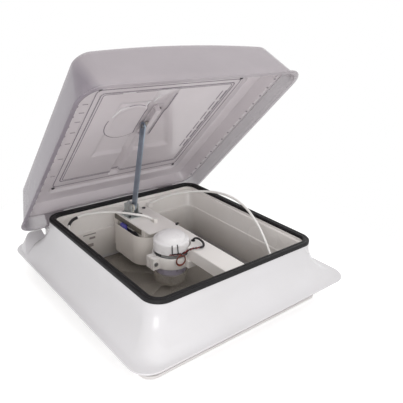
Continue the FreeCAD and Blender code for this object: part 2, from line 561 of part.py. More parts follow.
def lid_inner_panel():
    """Clear inner skin: welded edge, sloping side, sealing face, raised middle and its reliefs."""
    rim_shift = -HINGE_Y
    skin = PANEL_SKIN
    edge = rounded_plate(221.4, 226.8, 32, PANEL_FLANGE_N, PANEL_FLANGE_N + skin, LID_MIDDLE_Y)
    lower = stack([(208.0, 214.0, 26, PANEL_FLANGE_N - 6), (208.0, 214.0, 26, PANEL_FLANGE_N),
                   (200.0, 208.5, 24, SEAL_PLANE)], rim_shift)
    raised = stack([(168.5, 175.5, 14, SEAL_PLANE - 1), (165.0, 172.0, 12, PANEL_PLANE)], rim_shift)
    emboss = rounded_plate(88, 82, 22, SEAL_PLANE, EMBOSS_PLANE, -288).copy()
    emboss.translate(Vector(-10, 0, 0))
    inner = fuse([lower, raised, emboss, pocket_solid(0)])
    lower_out = stack([(208.0 + skin, 214.0 + skin, 27, PANEL_FLANGE_N),
                       (200.0 + skin, 208.5 + skin, 25, SEAL_PLANE + skin)], rim_shift)
    raised_out = stack([(168.5 + skin, 175.5 + skin, 15, SEAL_PLANE),
                        (165.0 + skin, 172.0 + skin, 13, PANEL_PLANE + skin)], rim_shift)
    emboss_out = rounded_plate(88 + skin, 82 + skin, 23, SEAL_PLANE, EMBOSS_PLANE + skin, -288).copy()
    emboss_out.translate(Vector(-10, 0, 0))
    outer = fuse([edge, lower_out, raised_out, emboss_out, pocket_solid(1.2)])
    panel = outer.cut(inner)
    for x, u in panel_screw_places():
        panel = panel.cut(cylinder(1.6, (x, -u, PANEL_PLANE - 2), (0, 0, 1), 6))
    return lid_to_rest(panel)


def panel_screw_places():
    return [(x, u) for x in (-157.0, 157.0) for u in (73.0, 402.0)]


def panel_screws():
    screws = [pan_screw((x, -u, PANEL_PLANE), (0, 0, 1), 3.4, 1.8, 1.5, 6.5)
              for x, u in panel_screw_places()]
    return lid_to_rest(Part.makeCompound(screws))


def slider_track():
    """C-shaped rail, open towards the arm, hung from the pocket's roof."""
    x_open, x_web = SLIDER_X[0] - 0.4, SLIDER_X[1] + 1.0
    low, high = PIN_N - SLIDER_HALF_N - 0.6, PIN_N + SLIDER_HALF_N + 3.0
    front, back = -238.0, -326.0
    bottom = box(x_open, x_web + 2, back, front, low - 1.8, low)
    web = box(x_web, x_web + 2, back, front, low - 1.8, POCKET_TOP - 0.2)
    top = box(x_open, x_web, back, front, high, high + 1.8)
    foot = box(x_web, POCKET_X[1] - 1, back, front, POCKET_TOP - 2.2, POCKET_TOP - 0.2)
    stops = [box(x_open, x_web, edge - 1, edge + 1, low, high) for edge in (front - 1, back + 1)]
    return lid_to_rest(fuse([bottom, web, top, foot] + stops))


def track_screws():
    x = (SLIDER_X[1] + 3 + POCKET_X[1]) / 2
    seat = POCKET_TOP - 2.2
    screws = [pan_screw((x, -u, seat), (0, 0, 1), 3.0, 1.6, 1.3, 2.1) for u in (250.0, 314.0)]
    return lid_to_rest(Part.makeCompound(screws))


# ---- hinge ----
def hinge_brackets():
    brackets = []
    for x in HINGE_X:
        pieces = [box(x - 30, x + 30, HINGE_Y - 7, HINGE_Y + 8, 9.1, 11.6)]
        for side in (-1, 1):
            centre = x + side * (HINGE_LEAF_WIDTH / 2 + 2.5)
            ear = side_plate([(HINGE_Y - 6, 9.1), (HINGE_Y + 6, 9.1), (HINGE_Y + 4, HINGE_Z),
                              (HINGE_Y - 4, HINGE_Z)], centre - 1.2, centre + 1.2)
            ear = ear.fuse(cylinder(4.0, (centre - 1.2, HINGE_Y, HINGE_Z), (1, 0, 0), 2.4))
            pieces.append(ear)
        bracket = fuse(pieces)
        half = HINGE_LEAF_WIDTH / 2 + 6
        bracket = bracket.cut(cylinder(HINGE_PIN_RADIUS, (x - half, HINGE_Y, HINGE_Z), (1, 0, 0), 2 * half))
        brackets.append(bracket)
    return Part.makeCompound(brackets)


def hinge_pins():
    pins = []
    for x in HINGE_X:
        half = HINGE_LEAF_WIDTH / 2 + 4.2
        pin = cylinder(HINGE_PIN_RADIUS, (x - half, HINGE_Y, HINGE_Z), (1, 0, 0), 2 * half)
        for side in (x - half - 1.4, x + half):
            pin = pin.fuse(cylinder(3.2, (side, HINGE_Y, HINGE_Z), (1, 0, 0), 1.4))
        pins.append(pin.removeSplitter())
    return Part.makeCompound(pins)


def hinge_bracket_screws():
    return Part.makeCompound([pan_screw((x + side * 14, HINGE_Y, 11.6), (0, 0, -1), 3.0, 1.5, 1.6, 9.0)
                              for x in HINGE_X for side in (-1, 1)])


def hinge_leaves():
    """Barrel round the pin and a bent leaf up the lid's back wall, in lid axes."""
    leaves = []
    for x in HINGE_X:
        x0, x1 = x - HINGE_LEAF_WIDTH / 2, x + HINGE_LEAF_WIDTH / 2
        barrel = cylinder(BARREL_RADIUS, (x0, 0, 0), (1, 0, 0), HINGE_LEAF_WIDTH)
        bend = side_plate([(0, 2.0), (0, BARREL_RADIUS), (-4.0, 6.4), (-6.0, 13.4), (-12.2, 40.0),
                           (-13.8, 40.0), (-7.55, 13.4), (-5.4, 6.4), (-3.4, 3.4)], x0, x1)
        leaf = fuse([barrel, bend])
        hole = cylinder(HINGE_PIN_RADIUS + PIN_CLEARANCE, (x0 - 1, 0, 0), (1, 0, 0), HINGE_LEAF_WIDTH + 2)
        leaves.append(leaf.cut(hole))
    return lid_to_rest(Part.makeCompound(leaves))


def leaf_rivets():
    rivets = []
    for x in HINGE_X:
        for side in (-14, 14):
            rivets.append(cylinder(3.0, (x + side, -10.2, 28), (0, 1, 0), 1.6))
    return lid_to_rest(Part.makeCompound(rivets))


# ---- motor, clamp and fan ----
def motor_can():
    return revolve_profile([(0, CAP_TOP - 8), (26, CAP_TOP - 8), (CAN_RADIUS, CAP_TOP - 14),
                            (CAN_RADIUS, -8), (27, -13), (20, CAN_BOTTOM),
                            (9, CAN_BOTTOM), (9, CAN_BOTTOM - 3),
                            (SHAFT_RADIUS + 0.05, CAN_BOTTOM - 3), (SHAFT_RADIUS + 0.05, 0), (0, 0)],
                           MOTOR_X, MOTOR_Y)


def motor_band():
    inner = CAN_RADIUS + 0.02
    return revolve_profile([(inner, 33.0), (BAND_RADIUS, 33.0), (BAND_RADIUS, 42.0), (inner, 42.0)],
                           MOTOR_X, MOTOR_Y)


def motor_cap():
    return revolve_profile([(0, CAP_TOP), (14, CAP_TOP - 0.4), (24, CAP_TOP - 2.2), (30, CAP_TOP - 5),
                            (31.5, CAP_TOP - 6.5), (35.2, CAP_TOP - 8.5), (CAP_RADIUS, CAP_TOP - 11),
                            (CAP_RADIUS, CAP_BOTTOM), (34.4, CAP_BOTTOM), (34.4, CAP_TOP - 11),
                            (29, CAP_TOP - 7), (0, CAP_TOP - 6)], MOTOR_X, MOTOR_Y)


def clamp_ring():
    height = CLAMP_TOP - CLAMP_BOTTOM
    ring = cylinder(CLAMP_OUTER, (MOTOR_X, MOTOR_Y, CLAMP_BOTTOM), (0, 0, 1), height)
    return ring.cut(cylinder(CLAMP_INNER, (MOTOR_X, MOTOR_Y, 0), (0, 0, 1), 60))


def clamp_ear(side):
    """Flat ear on the left of the motor on one side of the split."""
    y0, y1 = (1.2, 12.0) if side > 0 else (-12.0, -1.2)
    left, right = MOTOR_X - 51, MOTOR_X - CLAMP_INNER - 1
    ear = box(left, right, MOTOR_Y + y0, MOTOR_Y + y1, CLAMP_BOTTOM - 1, CLAMP_TOP)
    return ear.cut(cylinder(CLAMP_INNER, (MOTOR_X, MOTOR_Y, 0), (0, 0, 1), 60))


def clamp_foot(y0, y1):
    """Plate that ties the clamp to the underside of the crossbar."""
    plate = box(MOTOR_X + 8, BAR_X0 + 22, y0, y1, CLAMP_BOTTOM + 2, BAR_BOTTOM - 0.2)
    return plate.cut(cylinder(CLAMP_INNER + 1, (MOTOR_X, MOTOR_Y, 0), (0, 0, 1), 60))


def clamp_front():
    """Front half of the clamp, in front of the split through the motor's axis."""
    ring = clamp_ring().common(box(-80, 40, MOTOR_Y - 60, MOTOR_Y - 1.2, 0, 60))
    body = fuse([ring, clamp_ear(-1), clamp_foot(MOTOR_Y - 48, MOTOR_Y - 33)])
    return body.cut(clamp_screw_hole())


def clamp_back():
    ring = clamp_ring().common(box(-80, 40, MOTOR_Y + 1.2, MOTOR_Y + 60, 0, 60))
    body = fuse([ring, clamp_ear(1), clamp_foot(MOTOR_Y + 28, MOTOR_Y + 44)])
    return body.cut(clamp_screw_hole())


def clamp_screw_hole():
    return cylinder(1.7, (CLAMP_SCREW_X, MOTOR_Y - 30, CLAMP_SCREW_Z), (0, 1, 0), 60)


def clamp_screw():
    return pan_screw((CLAMP_SCREW_X, MOTOR_Y - 12.1, CLAMP_SCREW_Z), (0, 1, 0), 4.0, 2.2, 1.6, 24)


def clamp_pads():
    """Rubber strips between the clamp and the motor can."""
    ring = cylinder(CLAMP_INNER - 0.05, (MOTOR_X, MOTOR_Y, CLAMP_BOTTOM + 2), (0, 0, 1), 20)
    ring = ring.cut(cylinder(CAN_RADIUS + 0.05, (MOTOR_X, MOTOR_Y, 0), (0, 0, 1), 60))
    gap = box(-100, 60, MOTOR_Y - 1.5, MOTOR_Y + 1.5, 0, 60)
    return ring.cut(gap)


def motor_shaft():
    return cylinder(SHAFT_RADIUS - 0.02, (MOTOR_X, MOTOR_Y, HUB_BOTTOM - 3), (0, 0, 1), 38)


def fan_rotor():
    """Bowl-shaped hub with pitched blades, moulded in one piece."""
    hub = revolve_profile([(SHAFT_RADIUS, HUB_BOTTOM), (25, HUB_BOTTOM), (33, HUB_BOTTOM + 10), (36, -5),
                           (34, -5), (31.4, HUB_BOTTOM + 11), (24, HUB_BOTTOM + 2), (8, HUB_BOTTOM + 2),
                           (8, HUB_BOTTOM + 12), (SHAFT_RADIUS, HUB_BOTTOM + 12)], MOTOR_X, MOTOR_Y)
    rotor = hub
    ring = cylinder(FAN_RADIUS, (0, 0, -60), (0, 0, 1), 80)
    for index in range(BLADE_COUNT):
        wires = []
        for reach, chord, height, thick in ((29.0, 26.0, 9.0, 2.4), (90.0, 62.0, 11.0, 2.0),
                                            (FAN_RADIUS + 4, 92.0, 9.0, 1.8)):
            low, high = -29.5 - height / 2, -29.5 + height / 2
            corners = [Vector(reach, -chord / 2, low), Vector(reach, chord / 2, high),
                       Vector(reach, chord / 2, high + thick), Vector(reach, -chord / 2, low + thick)]
            wires.append(Part.makePolygon(corners + [corners[0]]))
        blade = Part.makeLoft(wires, True, True).common(ring)
        blade.rotate(Vector(0, 0, 0), Vector(0, 0, 1), 360.0 * index / BLADE_COUNT + 188.0)
        blade.translate(Vector(MOTOR_X, MOTOR_Y, 0))
        rotor = rotor.fuse(blade.cut(cylinder(31.0, (MOTOR_X, MOTOR_Y, -60), (0, 0, 1), 80)))
    return rotor.removeSplitter()


def fan_nut():
    corners = []
    for k in range(7):
        angle = math.radians(60 * k)
        corners.append(Vector(MOTOR_X + 6.5 * math.cos(angle), MOTOR_Y + 6.5 * math.sin(angle),
                              HUB_BOTTOM - 3.6))
    solid = Part.Face(Part.makePolygon(corners)).extrude(Vector(0, 0, 3.5))
    return solid.cut(cylinder(SHAFT_RADIUS, (MOTOR_X, MOTOR_Y, -60), (0, 0, 1), 80))


# ---- wiring ----
def left_conduit():
    return tube(LEFT_ROUTE, CONDUIT_RADIUS)


def right_conduit():
    return tube(RIGHT_ROUTE, CONDUIT_RADIUS)


def left_sleeve():
    """Black sleeve that brings the left conduit out of its socket on the wall."""
    return tube(LEFT_SLEEVE_ROUTE, SLEEVE_RADIUS)


def conduit_sockets():
    left = box(-WELL_HALF_X + 0.1, -163.0, 128.0, 139.0, 50.0, 60.0)
    bar_left = box(4.5, 14.5, 86.0, 95.5, BAR_TOP + 0.1, BAR_TOP + 9.0)
    back = box(BAR_X1 + 0.3, 56.0, 167.0, WELL_HALF_Y - 0.2, 50.0, 60.0)
    front = box(125.0, 139.0, -WELL_HALF_Y + 0.2, -138.0, CREASE_Z + 0.1, 38.0)
    blocks = Part.makeCompound([left, bar_left, back, front])
    ends = ((LEFT_SLEEVE_ROUTE[0], LEFT_SLEEVE_ROUTE[1], SLEEVE_RADIUS),
            (LEFT_ROUTE[-1], LEFT_ROUTE[-2], CONDUIT_RADIUS),
            (RIGHT_ROUTE[0], RIGHT_ROUTE[1], CONDUIT_RADIUS),
            (RIGHT_ROUTE[-1], RIGHT_ROUTE[-2], CONDUIT_RADIUS))
    for end, inner, radius in ends:
        tip, next_point = Vector(*end), Vector(*inner)
        way = (next_point - tip).normalize()
        blocks = blocks.cut(Part.makeCylinder(radius + 0.02, 40, tip - way * 0.05, way))
    return blocks


def motor_leads():
    """Two wires down the front of the cap, their tie and the twisted pair over to the bar."""
    pieces = []
    for degrees in (236.0, 253.5):
        angle = math.radians(degrees)
        reach = CAP_RADIUS + LEAD_RADIUS + 0.1
        x, y = MOTOR_X + reach * math.cos(angle), MOTOR_Y + reach * math.sin(angle)
        pieces.append(cylinder(LEAD_RADIUS, (x, y, 44.0), (0, 0, 1), 17.0))
    angle_from, angle_to = 232.0, 258.0
    tie = cylinder(CAP_RADIUS + 2.6, (MOTOR_X, MOTOR_Y, 41.5), (0, 0, 1), 3.4)
    tie = tie.cut(cylinder(CAP_RADIUS + 0.1, (MOTOR_X, MOTOR_Y, 40), (0, 0, 1), 8))
    wedge = [Vector(MOTOR_X, MOTOR_Y, 40)]
    for turn in (angle_from, angle_to):
        angle = math.radians(turn)
        wedge.append(Vector(MOTOR_X + 60 * math.cos(angle), MOTOR_Y + 60 * math.sin(angle), 40))
    tie = tie.common(Part.Face(Part.makePolygon(wedge + [wedge[0]])).extrude(Vector(0, 0, 8)))
    pieces.append(tie)
    pieces.append(tube(TWIST_ROUTE, 1.5))
    return fuse(pieces)


def lead_sleeve():
    return tube(SLEEVE_ROUTE, 1.9)


def bar_grommet():
    tip, before = Vector(*SLEEVE_ROUTE[-1]), Vector(*SLEEVE_ROUTE[-2])
    grommet = cylinder(4.2, (tip.x, tip.y, BAR_TOP + 0.05), (0, 0, 1), 1.6)
    way = (before - tip).normalize()
    return grommet.cut(Part.makeCylinder(1.95, 20, tip - way * 2, way))


def lead_loop():
    """Ring of wire tied below the leads, standing against the clamp."""
    angle = math.radians(263.0)
    reach = CLAMP_OUTER + LEAD_RADIUS + 0.3
    centre = Vector(MOTOR_X + reach * math.cos(angle), MOTOR_Y + reach * math.sin(angle) - 0.9, 28.5)
    facing = Vector(math.cos(angle), math.sin(angle), 0)
    return Part.makeTorus(LOOP_RADIUS, LEAD_RADIUS, centre, facing)


def pocket_wires():
    """Dark leads that rise from the relay and turn down at the front of the channel."""
    return Part.makeCompound([tube(route, 1.3) for route in POCKET_ROUTES])


def bar_clip():
    """Black snap clip on the crossbar's right edge."""
    post = cylinder(2.6, (BAR_X1 - 3.4, 53, BAR_TOP + 0.05), (0, 0, 1), 2.6)
    tab = box(BAR_X1 - 5, BAR_X1 + 1.6, 50.6, 55.4, BAR_TOP + 2.2, BAR_TOP + 3.8)
    return post.fuse(tab).removeSplitter()


NODES = {
    "base_frame": base_frame,
    "hinge_rail": hinge_rail,
    "rim_seal": rim_seal,
    "trim_ring": trim_ring,
    "screen_frame": screen_frame,
    "insect_screen": insect_screen,
    "crossbar": crossbar,
    "bar_screws": bar_screws,
    "control_pocket": control_pocket,
    "pocket_cover": pocket_cover,
    "control_board": control_board,
    "board_parts": board_parts,
    "lift_bracket": lift_bracket,
    "bracket_screws": bracket_screws,
    "pivot_pin": pivot_pin,
    "crank_shaft": crank_shaft,
    "crank_knob": crank_knob,
    "lift_arm": lift_arm,
    "arm_sector": arm_sector,
    "arm_spacer": arm_spacer,
    "track_slider": track_slider,
    "slider_pin": slider_pin,
    "lid_shell": lid_shell,
    "lid_inner_panel": lid_inner_panel,
    "panel_screws": panel_screws,
    "slider_track": slider_track,
    "track_screws": track_screws,
    "hinge_brackets": hinge_brackets,
    "hinge_pins": hinge_pins,
    "hinge_bracket_screws": hinge_bracket_screws,
    "hinge_leaves": hinge_leaves,
    "leaf_rivets": leaf_rivets,
    "motor_can": motor_can,
    "motor_band": motor_band,
    "motor_cap": motor_cap,
    "clamp_front": clamp_front,
    "clamp_back": clamp_back,
    "clamp_screw": clamp_screw,
    "clamp_pads": clamp_pads,
    "motor_shaft": motor_shaft,
    "fan_rotor": fan_rotor,
    "fan_nut": fan_nut,
    "left_conduit": left_conduit,
    "left_sleeve": left_sleeve,
    "right_conduit": right_conduit,
    "conduit_sockets": conduit_sockets,
    "motor_leads": motor_leads,
    "lead_sleeve": lead_sleeve,
    "lead_loop": lead_loop,
    "bar_grommet": bar_grommet,
    "bar_clip": bar_clip,
    "pocket_wires": pocket_wires,
}


def main():
    os.makedirs("parts", exist_ok=True)
    for name, make in NODES.items():
        shape = make()
        facts = (name, len(shape.Solids), shape.Volume, shape.isValid())
        print("%-22s solids %d volume %.0f valid %s" % facts)
        shape.exportStep("parts/%s.step" % name)


main()
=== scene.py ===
import math

import bmesh
import bpy
import numpy as np
from mathutils import Matrix, Vector


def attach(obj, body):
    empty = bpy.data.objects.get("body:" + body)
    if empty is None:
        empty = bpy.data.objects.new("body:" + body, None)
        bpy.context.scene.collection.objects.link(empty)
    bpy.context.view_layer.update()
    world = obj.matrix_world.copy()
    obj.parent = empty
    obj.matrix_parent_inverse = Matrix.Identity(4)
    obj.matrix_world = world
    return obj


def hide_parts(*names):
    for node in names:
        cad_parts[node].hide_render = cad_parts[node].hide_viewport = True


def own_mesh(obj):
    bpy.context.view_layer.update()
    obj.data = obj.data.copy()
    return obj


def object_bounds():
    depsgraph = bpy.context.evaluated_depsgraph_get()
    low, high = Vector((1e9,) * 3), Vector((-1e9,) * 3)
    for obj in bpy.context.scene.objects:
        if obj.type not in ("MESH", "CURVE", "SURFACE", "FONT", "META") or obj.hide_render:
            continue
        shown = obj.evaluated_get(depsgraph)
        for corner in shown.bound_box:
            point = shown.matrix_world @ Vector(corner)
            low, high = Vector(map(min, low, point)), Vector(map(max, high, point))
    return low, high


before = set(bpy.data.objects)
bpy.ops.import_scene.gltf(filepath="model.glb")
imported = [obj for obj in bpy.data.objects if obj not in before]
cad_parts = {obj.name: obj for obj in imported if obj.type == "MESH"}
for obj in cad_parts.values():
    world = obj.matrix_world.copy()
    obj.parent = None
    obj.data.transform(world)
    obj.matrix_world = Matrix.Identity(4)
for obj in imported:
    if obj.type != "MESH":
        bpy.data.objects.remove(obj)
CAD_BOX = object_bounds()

# All sizes below are in millimetres and are turned to metres when a mesh is made.
MM = 0.001
RIM_HALF_X, RIM_HALF_Y, RIM_RADIUS, RIM_TOP = 192.0, 200.0, 32.0, 72.0
FLANGE_HALF_X, FLANGE_HALF_Y, FLANGE_RADIUS, FLANGE_THICK = 247.0, 251.0, 36.0, 3.0
SKIRT_WALL, SEAL_WIDTH, TONE_INSET = 3.0, 13.4, 12.5
WELL_HALF_X, WELL_HALF_Y, WELL_RADIUS, WELL_BACK = 175.5, 180.0, 20.0, 172.9
NECK_HALF, NECK_INNER, NECK_BOTTOM = 176.0, 173.5, -40.0
HINGE_Y, HINGE_Z, OPEN_ANGLE = 237.65, 30.43, math.radians(47.19)

# The lid is built closed, as (x, -u, n): u runs from the hinge to the front and n up from the hinge.
LID_HALF_X, LID_LENGTH, LID_RADIUS, LID_WALL = 236.3, 483.5, 40.0, 2.5
LID_MIDDLE, LID_LIP_IN, LID_LEAN_X, LID_LEAN_Y = -LID_LENGTH / 2, 6.5, 0.309, 0.235
LID_FOOT, LID_EDGE_TOP, LID_CROWN = 8.0, 78.5, 95.0
# Lid x, in millimetres, over which painted shade darkens the lid's left wall.
LID_DARK_FROM, LID_DARK_TO = -200.0, -214.0
SEAL_PLANE, PANEL_PLANE, PANEL_FLANGE_N, PANEL_SKIN = 48.8, 55.0, 25.0, 1.8
DISH_X, DISH_U, DISH_HALF_X, DISH_HALF_U = -62.0, 292.0, 47.0, 51.0

MOTOR_X, MOTOR_Y, CAP_RADIUS, CAP_BOTTOM, CAP_TOP = -17.0, -6.0, 36.5, 40.0, 75.0
HUB_BOTTOM, BLADE_COUNT, BLADE_ROOT, FAN_RADIUS = -36.0, 5, 31.6, 146.0
LOOP_FACING, LOOP_SIZE = math.radians(263.0), 10.0

CONDUIT_RADIUS, LEFT_SLEEVE_RADIUS, LEAD_SLEEVE_RADIUS = 2.6, 3.2, 2.3
LEFT_SLEEVE_ROUTE = ((-169.0, 134.0, 58.0), (-165.0, 146.0, 66.5), (-148.0, 163.0, 70.0),
                     (-133.0, 167.5, 70.4))
LEFT_ROUTE = ((-133.0, 167.5, 70.4), (-118.0, 172.0, 70.8), (-88.0, 165.0, 71.0), (-62.0, 153.0, 71.0),
              (-41.0, 134.0, 70.5), (-24.0, 117.0, 69.0), (-8.0, 106.0, 66.5), (3.0, 98.0, 61.0),
              (9.0, 92.0, 56.5))
RIGHT_ROUTE = ((50.0, 174.0, 56.0), (76.0, 156.0, 73.0), (108.0, 126.0, 88.0), (136.0, 90.0, 98.0),
               (152.0, 48.0, 105.0), (157.5, 2.0, 106.0), (155.0, -44.0, 97.0), (147.0, -86.0, 77.0),
               (139.0, -118.0, 54.0), (132.0, -142.0, 33.0))
TWIST_ROUTE = ((-22.0, -46.0, 43.0), (-14.0, -51.0, 49.0), (-6.0, -57.0, 55.5), (4.0, -62.0, 56.5),
               (12.0, -63.5, 56.0))
SLEEVE_ROUTE = ((11.0, -63.4, 56.0), (18.4, -64.7, 55.6), (24.5, -58.0, 58.5), (26.0, -47.0, 61.0),
                (25.0, -36.0, 61.5), (23.0, -29.0, 58.0), (22.4, -27.0, 53.2))

LID = Matrix.Translation((0, HINGE_Y, HINGE_Z)) @ Matrix.Rotation(-OPEN_ANGLE, 4, "X")
STILL = Matrix.Identity(4)
TO_METRES = Matrix.Scale(MM, 4)


# ---------------------------------------------------------------- meshes
def link(name, mesh, body, material, replaced=(), place=STILL, sharp=32):
    """Object from a mesh in millimetres, moved by place, with its normals, body and finish set."""
    mesh.transform(TO_METRES @ place)
    mesh.materials.clear()
    mesh.materials.append(material)
    mesh.validate()
    mesh.shade_smooth()
    if sharp:
        mesh.set_sharp_from_angle(angle=math.radians(sharp))
    piece = bpy.data.objects.new(name, mesh)
    bpy.context.scene.collection.objects.link(piece)
    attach(piece, body)
    if replaced:
        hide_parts(*replaced)
    return piece


def mesh_of(name, points, faces, outward=True):
    """Mesh from points and faces, with its normals turned outward unless told otherwise."""
    mesh = bpy.data.meshes.new(name)
    mesh.from_pydata([tuple(point) for point in points], [], faces)
    if outward:
        work = bmesh.new()
        work.from_mesh(mesh)
        bmesh.ops.recalc_face_normals(work, faces=work.faces)
        work.to_mesh(mesh)
        work.free()
    mesh.update()
    return mesh


def rounded_loop(half_x, half_y, radius, z, middle_y=0.0, *, corner, along_x, along_y):
    """Points of a level rounded rectangle, started half way round its first corner."""
    points = []
    signs = ((1, 1, 0), (-1, 1, 90), (-1, -1, 180), (1, -1, 270))
    for index, (sign_x, sign_y, start) in enumerate(signs):
        centre = (sign_x * (half_x - radius), middle_y + sign_y * (half_y - radius))
        for step in range(corner + 1):
            turn = math.radians(start + 90.0 * step / corner)
            points.append((centre[0] + radius * math.cos(turn), centre[1] + radius * math.sin(turn), z))
        following = signs[(index + 1) % 4]
        last = points[-1]
        turn = math.radians(following[2])
        to = (following[0] * (half_x - radius) + radius * math.cos(turn),
              middle_y + following[1] * (half_y - radius) + radius * math.sin(turn))
        pieces = along_x if index in (0, 2) else along_y
        for step in range(1, pieces):
            share = step / pieces
            points.append((last[0] + (to[0] - last[0]) * share, last[1] + (to[1] - last[1]) * share, z))
    return points[corner // 2:] + points[:corner // 2]


def skin(loops, closed=False, capped=False):
    """Points and faces of a surface through loops of equal count, joined up or capped at both ends."""
    count = len(loops[0])
    points = [point for loop in loops for point in loop]
    faces = []
    rows = len(loops) if closed else len(loops) - 1
    for row in range(rows):
        above = (row + 1) % len(loops)
        for k in range(count):
            right = (k + 1) % count
            faces.append((row * count + k, row * count + right, above * count + right, above * count + k))
    if capped:
        faces += [tuple(range(count)), tuple(range((len(loops) - 1) * count, len(loops) * count))]
    return points, faces


def lathe(profile, x, y, steps, closed=True):
    """Surface of revolution about the upright axis at x, y from (radius, z) points."""
    turns = [2 * math.pi * k / steps for k in range(steps)]
    loops = [[(x + radius * math.cos(turn), y + radius * math.sin(turn), z) for turn in turns]
             for radius, z in profile]
    return skin(loops, closed=closed)


def softened(mesh, width):
    """Rounds the hard edges of a mesh in millimetres."""
    work = bmesh.new()
    work.from_mesh(mesh)
    bmesh.ops.remove_doubles(work, verts=work.verts, dist=0.001)
    limit = math.radians(30)
    hard = [edge for edge in work.edges if len(edge.link_faces) == 2 and edge.calc_face_angle() > limit]
    bmesh.ops.bevel(work, geom=hard, offset=width, segments=2, profile=0.5, affect="EDGES",
                    clamp_overlap=True)
    work.to_mesh(mesh)
    work.free()
    mesh.update()
    return mesh


def block(x0, x1, y0, y1, z0, z1, width):
    """Box between two corners, with its edges rounded by width."""
    points = [(x, y, z) for z in (z0, z1) for x, y in ((x0, y0), (x1, y0), (x1, y1), (x0, y1))]
    faces = [(0, 1, 2, 3), (4, 5, 6, 7)] + [(k, (k + 1) % 4, 4 + (k + 1) % 4, 4 + k) for k in range(4)]
    return softened(mesh_of("block", points, faces), width)


def joined(name, meshes):
    """One mesh from several."""
    work = bmesh.new()
    for mesh in meshes:
        work.from_mesh(mesh)
    whole = bpy.data.meshes.new(name)
    work.to_mesh(whole)
    work.free()
    return whole


def spline_points(route, steps):
    """About as many points as steps along the smooth curve that follows a route."""
    curve = bpy.data.curves.new("route", "CURVE")
    curve.dimensions = "3D"
    spline = curve.splines.new("NURBS")
    spline.points.add(len(route) - 1)
    for point, place in zip(spline.points, route):
        point.co = (*place, 1.0)
    spline.order_u = 3
    spline.use_endpoint_u = True
    spline.resolution_u = max(4, steps // len(route))
    carrier = bpy.data.objects.new("route", curve)
    bpy.context.scene.collection.objects.link(carrier)
    bpy.context.view_layer.update()
    line = bpy.data.meshes.new_from_object(carrier.evaluated_get(bpy.context.evaluated_depsgraph_get()))
    points = [vertex.co.copy() for vertex in line.vertices]
    bpy.data.objects.remove(carrier)
    bpy.data.meshes.remove(line)
    return points


def tube(points, radius, sides=14):
    """Round tube along points, with flat ends."""
    turns = [2 * math.pi * k / sides for k in range(sides)]
    loops = []
    side = None
    for index, point in enumerate(points):
        way = (points[min(index + 1, len(points) - 1)] - points[max(index - 1, 0)]).normalized()
        if side is None:
            side = way.cross(Vector((0, 0, 1)))
            if side.length < 0.01:
                side = way.cross(Vector((1, 0, 0)))
        side = (side - way * side.dot(way)).normalized()
        other = way.cross(side)
        loops.append([tuple(point + (side * math.cos(turn) + other * math.sin(turn)) * radius)
                      for turn in turns])
    return mesh_of("tube", *skin(loops, capped=True))


def cad_finish(node, material, edge):
    """Gives a carried-over CAD node its finish, with its hard edges rounded by edge."""
    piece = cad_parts[node]
    piece.data.materials.clear()
    piece.data.materials.append(material)
    if edge:
        weld = piece.modifiers.new("weld", "WELD")
        weld.merge_threshold = 0.02 * MM
        bevel = piece.modifiers.new("edges", "BEVEL")
        bevel.width = edge * MM
        bevel.segments = 2
        bevel.limit_method = "ANGLE"
        bevel.angle_limit = math.radians(28)
        bevel.harden_normals = True


# ---------------------------------------------------------------- finishes
def linear(level):
    """Linear share of a screen level from 0 to 255."""
    return ((level / 255 + 0.055) / 1.055) ** 2.4 if level > 10 else level / 255 / 12.92


def srgb(red, green, blue):
    """Linear colour from the three levels of a screen colour."""
    return (linear(red), linear(green), linear(blue), 1.0)


def calculated(tree, operation, *values):
    """Result of a math node on numbers or sockets."""
    node = tree.nodes.new("ShaderNodeMath")
    node.operation = operation
    for socket, value in zip(node.inputs, values):
        if isinstance(value, bpy.types.NodeSocket):
            tree.links.new(value, socket)
        else:
            socket.default_value = value
    return node.outputs["Value"]


def mapped(tree, value, low, high, from_low, from_high):
    """Map-range node that takes a socket's value from one range to another."""
    node = tree.nodes.new("ShaderNodeMapRange")
    for name, limit in (("From Min", from_low), ("From Max", from_high), ("To Min", low), ("To Max", high)):
        node.inputs[name].default_value = limit
    tree.links.new(value, node.inputs["Value"])
    return node


